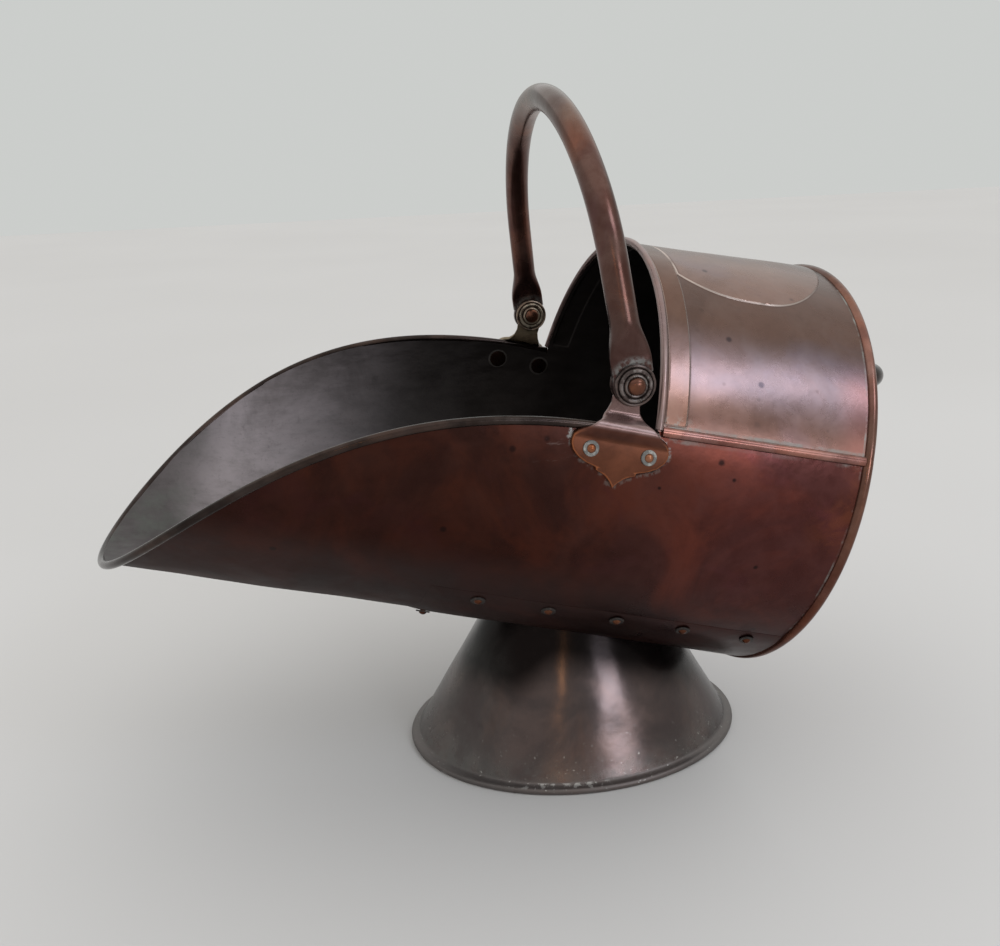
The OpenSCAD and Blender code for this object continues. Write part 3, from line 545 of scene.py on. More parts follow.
def hood_marks(f):
    dark = spots(f, [(77, -131, 51, 2.2), (77, -124, 65, 1.4), (116, -99, 96, 1.8), (100, -121, 70, 1.2),
                     (38, -120, 76, 1.3), (30, -131, 55, 1.2), (60, 120, 76, 1.8), (96, 128, 60, 1.4)])
    edge = f.attribute("edge_mm")
    # A pale broken line on the edges of the panel and band: partly wear, partly a painted highlight.
    wear_and_highlight = f.step(abs(edge), 0.62, 0.15) * (f.step(f.noise(30, 3, 0.6, at=(3, 3, 3)), 0.25, 0.5) * 0.6 + 0.4)
    # Just outside the raised edges a dark line, painted shadow at the foot of the step.
    groove_shade = f.step(abs(edge - 1.1), 0.5, 0.1) * 0.3
    return [(dark * 0.28, (0.07, 0.045, 0.042)), (groove_shade, (0.08, 0.05, 0.045)), (wear_and_highlight * 0.75, (0.6, 0.5, 0.45))]


hood_outside = aged_copper("hood_copper", (0.17, 0.095, 0.076), (0.25, 0.135, 0.105), (0.2, 0.125, 0.125),
                           (0.29, 0.19, 0.165), rough=(0.22, 0.34), patch=7, grime=hood_grime, seed=3.0,
                           zones=hood_tones_and_sheen, marks=hood_marks, relief=0.2)


def seam_arc(u, above=0.0):
    r, c = hood_circle(u)
    return r * np.arccos((seam_w(u) + above - c) / r)


oval = panel_outline()
oval_out = np.roll(oval, -1, 0) - np.roll(oval, 1, 0)
oval_out = np.stack([oval_out[:, 1], -oval_out[:, 0]], -1) / np.linalg.norm(oval_out, axis=1)[:, None]


def to_edges(p):
    """Distances outside the crown panel and the swaged band, negative on them."""
    to_oval = []
    for part in np.array_split(p, 1 + len(p) // 3000):
        gap = part[:, None] - oval
        k = (gap ** 2).sum(-1).argmin(1)
        to_oval.append((gap[np.arange(len(k)), k] * oval_out[k]).sum(-1))
    panel = np.maximum(np.concatenate(to_oval), p[:, 0] - panel_end)
    half = (band_at[1] - band_at[0]) / 2
    band = np.maximum(np.abs(p[:, 0] - band_at[0] - half) - half, np.abs(p[:, 1]) - seam_arc(p[:, 0], 4.2))
    return panel, band


side_u = np.linspace(0, hood_len, 58)
front_arc = np.linspace(-1, 1, 150)[1:-1] * seam_arc(hood_len)
border = np.concatenate([np.stack([side_u, -seam_arc(side_u)], -1),
                         np.stack([np.full(148, hood_len), front_arc], -1),
                         np.stack([side_u[::-1], seam_arc(side_u[::-1])], -1),
                         np.stack([np.zeros(148), front_arc[::-1] * seam_arc(0) / seam_arc(hood_len)], -1)])
rings = [border]
for off in (-0.55, -0.18, 0.18, 0.55, -1.5, 1.5):
    rings.append(oval[::3] + oval_out[::3] * off)
    for u, away in ((panel_end, -off), (band_at[0], off), (band_at[1], off)):
        arc = np.arange(-seam_arc(u), seam_arc(u), 1.7)
        rings.append(np.stack([np.full(len(arc), u + away), arc], -1))
    for side in (-1, 1):
        up_band = np.linspace(121.8, 136.0, 11)
        rings.append(np.stack([up_band, side * (seam_arc(up_band, 4.2) + off)], -1))
fill_u, fill_arc = np.meshgrid(np.arange(2.4, 138, 2.3), np.arange(-190, 190, 2.6), indexing="ij")
rings.append(np.stack([fill_u, fill_arc + 1.3 * (np.arange(len(fill_u)) % 2)[:, None]], -1).reshape(-1, 2))
kept, taken, cell_mm = [], set(), 0.16
for index, ring in enumerate(rings):
    if index:
        inside = (ring[:, 0] > 1.0) & (ring[:, 0] < hood_len - 1.0)
        ring = ring[inside & (np.abs(ring[:, 1]) < seam_arc(ring[:, 0]) - 1.0)]
    if index == len(rings) - 1:
        clear = [np.abs(d) > 1.2 for d in to_edges(ring)]
        ring = ring[clear[0] & clear[1]]
    for point in ring:
        cell = (round(point[0] / cell_mm), round(point[1] / cell_mm))
        if index and any((cell[0] + i, cell[1] + j) in taken for i in (-1, 0, 1) for j in (-1, 0, 1)):
            continue
        taken.add(cell)
        kept.append(Vector(point))
flat, _, triangles, *_ = delaunay_2d_cdt(kept, [], [list(range(len(border)))], 1, 1e-6)
flat = np.array([tuple(p) for p in flat])
panel, band = to_edges(flat)
edge_mm = np.where(np.abs(panel) < np.abs(band), panel, band)
slope_mm = 1.1
share = np.clip(0.5 - np.minimum(panel, band) / slope_mm, 0, 1)
height = emboss * share * share * (3 - 2 * share) + dents(flat[:, 0], flat[:, 1], 0.2, 11)


def two_skins(name, outer, inner, triangles, finishes):
    """A piece of sheet from one triangulation, with its raw edges closed."""
    t = np.array(triangles)
    count = len(outer)
    edges = np.concatenate([t[:, [0, 1]], t[:, [1, 2]], t[:, [2, 0]]])
    free = edges[~np.isin(edges[:, 0] * count + edges[:, 1], edges[:, 1] * count + edges[:, 0])]
    rim_faces = np.stack([free[:, 1], free[:, 0], free[:, 0] + count, free[:, 1] + count], -1)
    faces = t.tolist() + (t[:, ::-1] + count).tolist() + rim_faces.tolist()
    finish_of = np.repeat([0, 1, 0], [len(t), len(t), len(rim_faces)])
    return as_piece(name, np.concatenate([outer, inner]), faces, finishes, finish_of)


hood = two_skins("hood", on_hood(flat[:, 0], flat[:, 1], height), on_hood(flat[:, 0], flat[:, 1], height - sheet_t),
                 triangles, [hood_outside, scoop_inside])
write_points(hood.data, "edge_mm", np.tile(edge_mm, 2))
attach(hood, "scuttle")
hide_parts("hood_shell")
mouth_copper = aged_copper("hood_mouth_copper", (0.23, 0.16, 0.15), (0.32, 0.19, 0.165), (0.24, 0.17, 0.17),
                           (0.42, 0.33, 0.31), rough=(0.24, 0.4), patch=18, pits=False, seed=5.0, relief=0.2)
mouth_r = 142.1
mouth = np.linspace(-1, 1, 121) * math.radians(72.2)
mouth_points = barrel(hood_len, mouth_r * np.sin(mouth), hood_front[1] + mouth_r * np.cos(mouth))
mouth_roll = rolled("hood_mouth_roll", mouth_points, 0.00235, 20, mouth_copper, Seed=8)
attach(mouth_roll, "scuttle")

# ---- The back plate
# A round plate closes the rear. Its edge and the ends of both sheets are turned
# over together in a rolled joint, in two arcs that meet at the side seams.
plate_copper = aged_copper("back_plate_copper", (0.12, 0.06, 0.045), (0.2, 0.1, 0.07), (0.15, 0.085, 0.085),
                           (0.24, 0.16, 0.13), rough=(0.24, 0.42), patch=8, seed=9.0)


def rear_zones(f):
    # Darker at the top; a painted lilac sheen across the middle; redder and darker low down; near black where the roll
    # tucks against the wall, painted shade.
    return [(f.step(f.z, 0.325, 0.352), (0.5, 0.6, 0.62)), (f.step(abs(f.z - 0.29), 0.035, 0.015), (1.3, 1.35, 1.5)),
            (f.step(f.z, 0.2, 0.16), (0.75, 0.6, 0.55)),
            (f.step(f.off_wall(), 0.0, -1.5) * f.step(f.along(), 0.3, 1.3), (0.08, 0.1, 0.14))]


rear_copper = aged_copper("rear_roll_copper", (0.12, 0.052, 0.036), (0.22, 0.09, 0.055), (0.15, 0.075, 0.068),
                          (0.3, 0.18, 0.14), rough=(0.18, 0.32), patch=18, pits=False, seed=12.0, zones=rear_zones,
                          relief=0.2)
low_r, high_r = 141.7, 140.5
low = np.linspace(-1, 1, 221) * (math.pi / 2 + math.asin(seam_rear / low_r))
low_points = barrel(0.0, low_r * np.sin(low), -low_r * np.cos(low))
high = np.linspace(-1, 1, 121) * math.acos((seam_rear - hood_rear[1]) / high_r)
high_points = barrel(0.0, high_r * np.sin(high), hood_rear[1] + high_r * np.cos(high))
for label, points, size in (("rear_roll_lower", low_points, 0.0035), ("rear_roll_upper", high_points, 0.0034)):
    roll = rolled(label, points, size, 24, rear_copper, Seed=5)
    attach(roll, "scuttle")
loop = np.concatenate([low_points[:-1], high_points[::-1][:-1]])
middle = barrel(0.0, 0.0, 2.0)
rings = np.linspace(0.0005, 1, 45)[:, None, None]
plate_grid = middle + (loop - middle)[None] * rings
axis_back = np.array([math.cos(tilt), 0, -math.sin(tilt)])
bulge = dents(plate_grid[..., 1] * 1000, plate_grid[..., 2] * 1000, 0.35, 21) * (1 - rings[..., 0] ** 6) * 0.001
half_t = 0.0006
plate = sheet_metal("back_plate_sheet", plate_grid + axis_back * (half_t + bulge)[..., None],
                    plate_grid - axis_back * (half_t - bulge)[..., None], [plate_copper, scoop_inside], closed=True)
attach(plate, "scuttle")
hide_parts("back_plate")

# ---- The side seams
# Half round strips of brighter copper are soldered over the seams between the
# scoop and the hood on both sides.


def swept(name, rings, finishes):
    """A solid bar through a list of rings of points, closed at its ends."""
    rings = np.asarray(rings)
    m, n = rings.shape[:2]
    i = np.arange(m * n).reshape(m, n)
    j = np.roll(i, -1, 1)
    quads = np.stack([i[:-1], j[:-1], j[1:], i[1:]], -1).reshape(-1, 4).tolist()
    return as_piece(name, rings, quads + [i[0][::-1].tolist(), i[-1].tolist()], finishes)


def strip_grime(f):
    return line(f, f.above_seam() - 3.1, 0.5, 0.9) * 0.45


strip_copper = aged_copper("strip_copper", (0.15, 0.055, 0.042), (0.29, 0.12, 0.088), (0.19, 0.09, 0.088),
                           (0.4, 0.25, 0.22), rough=(0.2, 0.32), patch=26, pits=False, grime=strip_grime, seed=15.0,
                           relief=0.06)
bead_out, bead_half = 2.6, 3.1
strip_u = np.linspace(3.0, 136.3, 80)
lean = np.arcsin(seam_w(strip_u) / barrel_r(strip_u))
for label, side in (("seam_strip_near", -1), ("seam_strip_far", 1)):
    rings = []
    for a in np.radians(np.linspace(-90, 90, 25)):
        r, up = barrel_r(strip_u) + bead_out * math.cos(a) ** 0.8 + 0.05, bead_half * math.sin(a)
        y, w = r * np.cos(lean) - up * np.sin(lean), r * np.sin(lean) + up * np.cos(lean)
        rings.append(barrel(strip_u, side * y, w))
    strip = swept(label + "_bead", np.stack(rings, 1), [strip_copper])
    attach(strip, "scuttle")
    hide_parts(label)

# ---- The saddle plate
# A second thickness of sheet wraps the underside of the barrel where the foot
# stands, and spreads its pull over thirteen rivets.
saddle_end, saddle_half, fall, fall_mm = 246.0, math.radians(50), 1.1, 16
saddle_u = np.concatenate([np.linspace(3.6, 240, 88), [242.0, 243.4, 244.7, saddle_end]])
near_edge = np.array([48.3, 48.9, 49.45, 50])
saddle_a = np.radians(np.concatenate([-near_edge[::-1], np.linspace(-47.6, 47.6, 115), near_edge]))
su, sa = np.meshgrid(saddle_u, saddle_a, indexing="ij")
wave = wall_dents(su, sa)
inward = np.clip(np.minimum(saddle_end - su, (saddle_half - np.abs(sa)) * mean_r) / fall_mm, 0, 1)
edge_fall = (1 - (1 - inward) ** 2) * fall - fall
saddle = sheet_metal("saddle_sheet", on_wall(su, sa, sheet_t + wave + edge_fall), on_wall(su, sa, wave),
                     [scoop_outside])
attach(saddle, "scuttle")
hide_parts("saddle_plate")

# ---- The foot
# A cone of sheet on an oval plan, soldered to the saddle plate, its lower edge
# rolled outward over wire. It is polished by handling and dull near the floor.


def foot_finish():
    f = Finish("foot_copper")
    clouds = f.noise(16, 5, 0.6, at=(1, 4, 2), warp=0.6)
    fine = f.noise(120, 6, 0.7)
    streak = f.noise(26, 4, 0.6, stretch=(1, 1, 0.15), at=(2, 2, 0))
    # Pale grey on the flanks, partly patina and partly a painted reflection, and pale patina near the floor.
    flank = f.step(abs(f.x) + clouds * 0.03, 0.065, 0.13) * f.step(streak * 0.6 + clouds * 0.4, 0.3, 0.66)
    pale_patina_and_reflection = (flank * 0.5 + f.step(f.z, 0.03, 0.004) * f.step(fine, 0.3, 0.65) * 0.35).least(0.8)
    shade = f.step(f.off_wall() - f.step(f.x, -0.02, -0.06) * 26, 40, 12)
    flecks = f.step(f.noise(420, 3, 0.6, at=(0, 9, 0)), 0.66, 0.72) * f.step(f.z, 0.045, 0.01)
    worn_roll = f.step(f.noise(190, 4, 0.7, at=(5, 5, 5)), 0.52, 0.6) * f.step(abs(f.x + 0.032), 0.04, 0.02)
    worn_roll = worn_roll * f.step(abs(f.z - 0.0055), 0.0015, 0.0006)
    by_roll = f.step(f.z, 0.0085, 0.0055)
    colour = f.over(f.mix(f.step(clouds, 0.4, 0.7), (0.075, 0.058, 0.056), (0.125, 0.088, 0.08)),
                    [(f.step(streak, 0.55, 0.75) * 0.35, (0.15, 0.08, 0.058)), (shade, (0.07, 0.06, 0.06), "MULTIPLY"),
                     (pale_patina_and_reflection, (0.15, 0.15, 0.142)), (f.step(fine, 0.5, 0.8) * 0.25, (0.03, 0.022, 0.02)),
                     (by_roll * 0.6, (0.11, 0.095, 0.088)), (flecks.most(worn_roll) * 0.7, (0.45, 0.43, 0.4))])
    roughness = 0.17 + f.step(clouds, 0.3, 0.8) * 0.1 + pale_patina_and_reflection * 0.2 + by_roll * 0.15
    return f.finish(colour, 0.9 - by_roll * 0.35, roughness, f.noise(45, 3, 0.5) * 0.9 + fine * 0.1, 0.22)


foot_copper = foot_finish()
foot_k = 195.8 / 251.6
roll_x, roll_z = 123.3, 2.5
rise = np.array([-0.585, 1]) / math.hypot(0.585, 1)
inward = np.array([-rise[1], rise[0]])
turn = np.linspace(0, 2 * math.pi, 240, endpoint=False)


def foot_points(run, off, a):
    """Points of the foot's wall, run millimetres up from the roll and off to its inside."""
    px = roll_x + run * rise[0] + off * inward[0] + 0 * a
    pz = roll_z + run * rise[1] + off * inward[1] + 0 * a
    return np.stack([px * np.cos(a), px * foot_k * np.sin(a), pz], -1)


def beyond_saddle(p):
    """How far points in millimetres lie outside the saddle plate on the barrel's wall."""
    back, up = p[..., 0] - rear_x, p[..., 2] - axis_z
    w = back * math.sin(tilt) + up * math.cos(tilt)
    return np.hypot(p[..., 1], w) - barrel_r(up * math.sin(tilt) - back * math.cos(tilt)) - sheet_t


def run_to_barrel(off, a):
    """How far up its wall the foot meets the saddle plate, found by halving."""
    lowest, highest = np.zeros(len(a)), np.full(len(a), 150.0)
    for _ in range(40):
        half = (lowest + highest) / 2
        outside = beyond_saddle(foot_points(half, off, a)) > 0
        lowest, highest = np.where(outside, half, lowest), np.where(outside, highest, half)
    return lowest


rows = np.concatenate([np.linspace(0, 0.1, 32), np.linspace(0.1, 1, 42)[1:]])[:, None]
face_off, back_off = 1.3, 2.5
top_out, top_in = run_to_barrel(face_off, turn), run_to_barrel(back_off, turn)
wobble = dents(turn * 110, top_out[None] * rows, 0.25, 31) * np.minimum(1, rows * 8)
run = rows * top_out[None]
roll_r, leaves, flow, dip = 2.55, 1.77, 6.5, 5.89
on_roll = -np.sqrt(roll_r ** 2 - np.minimum(run, leaves) ** 2)
over_roll = np.where(run < leaves, on_roll, face_off - dip * np.clip(1 - run / flow, 0, 1) ** 2)
outer = foot_points(run, over_roll + wobble, turn[None]) * 0.001
inner = foot_points(rows * top_in[None], back_off + wobble, turn[None]) * 0.001
foot = sheet_metal("foot_wall", outer, inner, [foot_copper, scoop_inside], closed=True)
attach(foot, "scuttle")
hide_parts("foot_cone")
base_points = foot_points(0.0, 0.0, turn) * 0.001
foot_roll = rolled("foot_roll", base_points, 0.0025, 20, foot_copper, closed=True, Seed=9)
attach(foot_roll, "scuttle")

# ---- The bail
# The carrying handle: a copper tube bent to an arch, its ends hammered flat into
# round eyes that turn on the pivot pins. It leans a little forward at rest.
lean_back = math.radians(7)
pivot = np.array([4.136, 0, 296.711])
eye_y0, eye_mid, eye_y1, eye_r = 130.5, 133.0, 135.5, 12.8


def from_pin(f):
    """Millimetres from the common axis of the pins."""
    return (((f.x - pivot[0] / 1000) * 1000) ** 2 + ((f.z - pivot[2] / 1000) * 1000) ** 2) ** 0.5


def bail_zones(f):
    # The crown greyer and greener, a painted reflection; the legs darker lower down.
    return [(f.step(f.z, 0.425, 0.462), (1.0, 1.45, 1.5)), (f.step(f.z, 0.38, 0.31), (0.62, 0.62, 0.66))]


def bail_marks(f):
    edge = f.noise(230, 5, 0.7, at=(2, 6, 1))
    round_pin = from_pin(f)
    crust = f.step(round_pin + edge * 9, 22.5, 19) * f.step(f.z, 0.2985, 0.303) * f.step(edge, 0.4, 0.56)
    return [(crust * 0.6, (0.22, 0.225, 0.215)), (f.step(round_pin, 13.2, 12.2) * 0.8, (0.03, 0.024, 0.022))]


bail_copper = aged_copper("bail_copper", (0.085, 0.036, 0.027), (0.19, 0.075, 0.048), (0.12, 0.06, 0.055),
                          (0.23, 0.15, 0.125), rough=(0.2, 0.33), patch=14, seed=18.0, zones=bail_zones,
                          marks=bail_marks, relief=0.25)


def bail_world(x, y, h):
    """Points in metres from millimetres across the bail's plane, along the pins and up the bail."""
    x, y, h = np.broadcast_arrays(np.asarray(x, float), y, h)
    return (np.stack([x * math.cos(lean_back) - h * math.sin(lean_back), y,
                      x * math.sin(lean_back) + h * math.cos(lean_back)], -1) + pivot) * 0.001


def arc_line(centre, r, start, end, count):
    """Points on an arc, with its angles in degrees from the level."""
    a = np.radians(np.linspace(start, end, count))
    return np.stack([centre[0] + r * np.cos(a), centre[1] + r * np.sin(a)], -1)


crown_c, crown_r, shoulder_r = (0, 32.5), 130.0, 104.5
crown_end, arm_end, bend_end = 38.5, 10.7, 10.0
crown = arc_line(crown_c, crown_r, 90, crown_end, 40)
shoulder_c = crown[-1] - (crown[-1] - crown_c) * (shoulder_r / crown_r)
shoulder = arc_line(shoulder_c, shoulder_r, crown_end, arm_end, 24)
flare, (arm_y, arm_h) = math.radians(arm_end), shoulder[-1]
bend_r = ((arm_h - bend_end) * math.tan(flare) - (eye_mid - arm_y)) / (
    math.sin(flare) * math.tan(flare) - 1 + math.cos(flare))
arm = np.linspace(arm_h, bend_end + bend_r * math.sin(flare), 24)[1:]
side_line = np.concatenate([crown, shoulder[1:], np.stack([arm_y + (arm_h - arm) * math.tan(flare), arm], -1),
                            arc_line((eye_mid - bend_r, bend_end), bend_r, arm_end, 0, 10)[1:],
                            [(eye_mid, 8.0), (eye_mid, 6.0)]])
full = np.concatenate([side_line[::-1] * [-1, 1], side_line[1:]])
tangent = np.gradient(full, axis=0)
tangent /= np.linalg.norm(tangent, axis=1)[:, None]
flat_from, flat_below, tube_r = 36, 14, 8.5
flatness = np.clip((flat_from - full[:, 1]) / (flat_from - flat_below), 0, 1)
flatness = flatness * flatness * (3 - 2 * flatness)
half_w = tube_r + (12.3 - tube_r) * flatness
half_t = tube_r + (2.48 - tube_r) * flatness
power = 2 / (2 + 3 * flatness)
round_a = np.linspace(0, 2 * math.pi, 40, endpoint=False)
c, sn = np.cos(round_a), np.sin(round_a)
wide = half_w[:, None] * np.sign(c) * np.abs(c) ** power[:, None]
thick = half_t[:, None] * np.sign(sn) * np.abs(sn) ** power[:, None]
bail_rings = bail_world(wide, full[:, :1] - thick * tangent[:, 1:], full[:, 1:] + thick * tangent[:, :1])
bail_tube = swept("bail_tube", bail_rings, [bail_copper])
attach(bail_tube, "bail")
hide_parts("bail")


def turned(profile, sides):
    """Points and faces of a closed ring turned from a profile of radius and height, in millimetres."""
    profile = np.asarray(profile, float)
    a = np.linspace(0, 2 * math.pi, sides, endpoint=False)
    verts = np.stack([profile[:, :1] * np.cos(a), profile[:, :1] * np.sin(a), np.repeat(profile[:, 1:], sides, 1)], -1)
    i = np.arange(len(profile) * sides).reshape(-1, sides)
    j, k = np.roll(i, -1, 0), np.roll(i, -1, 1)
    return verts, np.stack([i, k, np.roll(j, -1, 1), j], -1).reshape(-1, 4).tolist()


bevel = 0.7
eye_form = [(4.06, eye_y0), (eye_r - bevel, eye_y0), (eye_r - 0.2, eye_y0 + 0.2), (eye_r, eye_y0 + bevel),
            (eye_r, eye_y1 - bevel), (eye_r - 0.2, eye_y1 - 0.2), (eye_r - bevel, eye_y1), (4.06, eye_y1)]
for label, side in (("bail_eye_near", -1), ("bail_eye_far", 1)):
    verts, quads = turned(eye_form, 64)
    eye = as_piece(label, bail_world(verts[..., 0], side * verts[..., 2], verts[..., 1]), quads, [bail_copper])
    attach(eye, "bail")

# ---- The rivets and burrs
# Copper rivets are put in from the inside, where their flat heads show, and closed
# over small washers, the burrs, outside. Verdigris gathers in a ring round each.
def rivet_zones(f):
    # Darker where the heads sit in the sooty inside; much darker low on the underside, painted shade under the barrel.
    return [(f.step(f.off_wall(), -0.8, -1.2), (0.1, 0.13, 0.2)), (f.step(f.above(), -50, -80), (0.28, 0.25, 0.26))]


bright = aged_copper("rivet_copper", (0.24, 0.075, 0.03), (0.42, 0.15, 0.06), (0.25, 0.11, 0.07), (0.5, 0.26, 0.15),
                     rough=(0.22, 0.4), patch=60, pits=False, seed=20.0, zones=rivet_zones)


def burr_finish(name, pale, share):
    f = Finish(name)
    crust = f.noise(260, 5, 0.7)
    colour = f.mix(f.step(crust, 0.62 - share, 0.72 - share * 0.5), tuple(c * 0.3 + 0.01 for c in pale), pale)
    return f.finish(colour, 0.45, 0.42 + f.step(crust, 0.4, 0.6) * 0.25, crust, 0.25)


burr_copper = burr_finish("burr_copper", (0.38, 0.37, 0.34), 0.16)
# The saddle's burrs take a darker copy, painted shade under the barrel.
saddle_burr_copper = burr_finish("saddle_burr_copper", (0.075, 0.055, 0.045), 0.08)

riveting = Growth("riveting", Places=("Geometry", None), Fastener=("Object", None), Uneven_size=("Float", 0.05),
                  Seed=("Int", 4), Finish=("Material", None))
grow = riveting.node
fastener = grow("GeometryNodeObjectInfo", {"Object": riveting["Fastener"]}, "Geometry")
outward = grow("GeometryNodeInputNamedAttribute", {"Name": "outward"}, "Attribute", data_type="FLOAT_VECTOR")
upright = grow("FunctionNodeAlignRotationToVector", {"Vector": outward}, axis="Z")
size = {2: 1.0 - riveting["Uneven size"], 3: 1.0, "Seed": riveting["Seed"]}
size = grow("FunctionNodeRandomValue", size, 1, data_type="FLOAT")
spin = {0: (0, 0, 0), 1: (0, 0, 6.28), "Seed": riveting["Seed"]}
spin = grow("FunctionNodeRandomValue", spin, data_type="FLOAT_VECTOR")
placed = {"Points": riveting["Places"], "Instance": fastener, "Rotation": upright, "Scale": size}
placed = grow("GeometryNodeInstanceOnPoints", placed)
riveting.end(grow("GeometryNodeRotateInstances", {"Instances": placed, "Rotation": spin}))
pattern_sides = 36


def rivet_pattern(above):
    """A rivet through all up to a height above the wall: a flat head inside, a shank and a hammered dome."""
    head, steps = 13.0, 7
    under = -sheet_t - head * head / 8 / 131
    base, d, h = above + 1.0, 5.6, 1.8
    r = (h * h + d * d / 4) / (2 * h)
    dome = math.asin(d / 2 / r) * (1 - np.arange(steps + 1) / steps)
    profile = [(0.004, under - 1.2), (head / 2 - 0.5, under - 1.2), (head / 2 - 0.12, under - 1.05),
               (head / 2, under - 0.7), (head / 2, under), (2.0, under), (2.0, base), (2.75, base)]
    profile += [(max(r * math.sin(a), 0.004), base + h - r + r * math.cos(a)) for a in dome]
    verts, faces = turned(profile, pattern_sides)
    last = (len(profile) - 1) * pattern_sides
    faces = faces[:last] + [list(range(pattern_sides))[::-1], list(range(last, last + pattern_sides))]
    return as_piece("rivet_pattern", verts * 0.001, faces, [])


def burr_pattern(above):
    d = 9.5
    profile = [(2.05, above), (d / 2, above), (d / 2, above + 0.7), (d / 2 - 0.3, above + 1.0), (2.05, above + 1.0)]
    verts, quads = turned(profile, pattern_sides)
    return as_piece("burr_pattern", verts * 0.001, quads, [])


saddle_angle = saddle_half - 9 / rear_r
first_u, pitch, front_row_u = 26, 46.889, 237
saddle_spots = [(first_u + pitch * k, side * saddle_angle) for side in (-1, 1) for k in range(5)]
saddle_spots += [(front_row_u, share * saddle_angle) for share in (-0.5, 0.5, 0)]
for group, row, above, ring in (("saddle", saddle_spots, sheet_t, saddle_burr_copper),
                                ("lug", lug_spots, 2.55, burr_copper)):
    u, angle = np.transpose(row)
    places = on_wall(u, angle)
    outward = (on_wall(u + taper, angle, 1.0) - places) * 1000
    for kind, shape, finish, uneven in (("rivets", rivet_pattern(above), bright, 0.04),
                                        ("burrs", burr_pattern(above), ring, 0.0)):
        piece = grown(f"{group}_{kind}_set", riveting, places, [], outward, Fastener=shape, Uneven_size=uneven,
                      Seed=6, Finish=finish)
        bpy.data.objects.remove(shape)
        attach(piece, "scuttle")
        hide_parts(f"{group}_{kind}")

# ---- The lugs
# Cut from thick copper plate, one on each side, with a scalloped lower edge. Each is
# riveted to the wall, swells over the rolled rim and steps in to an upright ear.


def dressed(node, name, finish, slot, bevel=0.0):
    """A piece with the form of a solid of the frame, its edges eased by a bevel in millimetres."""
    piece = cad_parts[node].copy()
    piece.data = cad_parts[node].data.copy()
    piece.name = name
    piece.parent = None
    for key in list(piece.keys()):
        del piece[key]
    bpy.context.scene.collection.objects.link(piece)
    bm = bmesh.new()
    bm.from_mesh(piece.data)
    bmesh.ops.remove_doubles(bm, verts=bm.verts, dist=2e-6)
    bmesh.ops.dissolve_limit(bm, angle_limit=math.radians(1.0), verts=bm.verts, edges=bm.edges)
    bm.to_mesh(piece.data)
    bm.free()
    piece.data.materials.clear()
    piece.data.materials.append(finish)
    piece.data.shade_smooth()
    piece.data.set_sharp_from_angle(angle=math.radians(35))
    if bevel:
        ease = piece.modifiers.new("eased", "BEVEL")
        ease.width, ease.segments, ease.limit_method = bevel * 0.001, 2, "ANGLE"
        ease.angle_limit = math.radians(40)
        ease.harden_normals = True
    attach(piece, "scuttle")
    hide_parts(node)


def lug_finish():
    f = Finish("lug_copper")
    w = f.above()
    clouds, fine = f.noise(34, 5, 0.6, warp=0.5), f.noise(220, 5, 0.7)
    tone, on_swell = f.step(clouds, 0.35, 0.7), f.step(w, 34, 38)
    low = f.mix(tone, (0.075, 0.026, 0.014), (0.135, 0.046, 0.024))
    fold = f.mix(tone, (0.07, 0.026, 0.018), (0.12, 0.045, 0.03))
    # On the swell pale lilac tones: a painted highlight.
    high = f.mix(tone, (0.17, 0.1, 0.09), (0.3, 0.215, 0.205))
    edge = f.attribute("edge_mm")
    # A bright orange line along the lower edges: partly wear, partly a painted highlight.
    wear_and_highlight = f.step(edge, 1.3, 0.4) * f.step(w, 33, 28) * f.step(clouds * 0.6 + fine * 0.4, 0.3, 0.5)
    # On the far lug the swell is lightened further, painted light.
    colour = f.over(low, [(f.step(w, 27, 31), fold), (on_swell, high),
                          (f.step(fine, 0.5, 0.8) * 0.3, (0.06, 0.028, 0.02)),
                          (f.step(f.y, 0.1, 0.11) * on_swell, (1.1, 1.35, 0.95), "MULTIPLY"),
                          (wear_and_highlight * 0.75, (0.36, 0.12, 0.05))])
    roughness = 0.26 + f.step(clouds, 0.3, 0.8) * 0.14
    return f.finish(colour, 0.88 - on_swell * 0.3, roughness, clouds + fine * 0.15, 0.15)


lug_copper = lug_finish()
ear_y, ear_r, pivot_w, lug_half_w, lug_thick = 127.68, 11.9, 62.0, 30, 2.45
lug_r = barrel_r(lug_u)
outline = np.array([
    (0, 1.0), (0.05, 3.2), (0.1, 5.0), (0.2, 7.5), (0.3, 9.0), (0.41, 10.0), (0.42, 11.9), (0.52, 12.6), (0.66, 13.9),
    (0.82, 16.4), (0.94, 19.8), (0.99, 23.0), (1, 25.4), (0.98, 28.4), (0.9, 30.9), (0.8, 32.6), (0.76, 33.8),
    (0.67, 36.4), (0.58, 39.0), (0.44, 41.4), (0.33, 45.0), (0.29, 48.8), (0.3, 53.3)])


def lug_half(w):
    """Half the lug's width at a height above the barrel's axis: its cut outline, then its round ear."""
    w = np.asarray(w, float)
    round_ear = np.sqrt(np.maximum(ear_r ** 2 - (w - pivot_w) ** 2, 0))
    cut = lug_half_w * np.interp(w, outline[:, 1], outline[:, 0])
    return np.maximum(np.where(w < outline[-1, 1], cut, 0), round_ear)


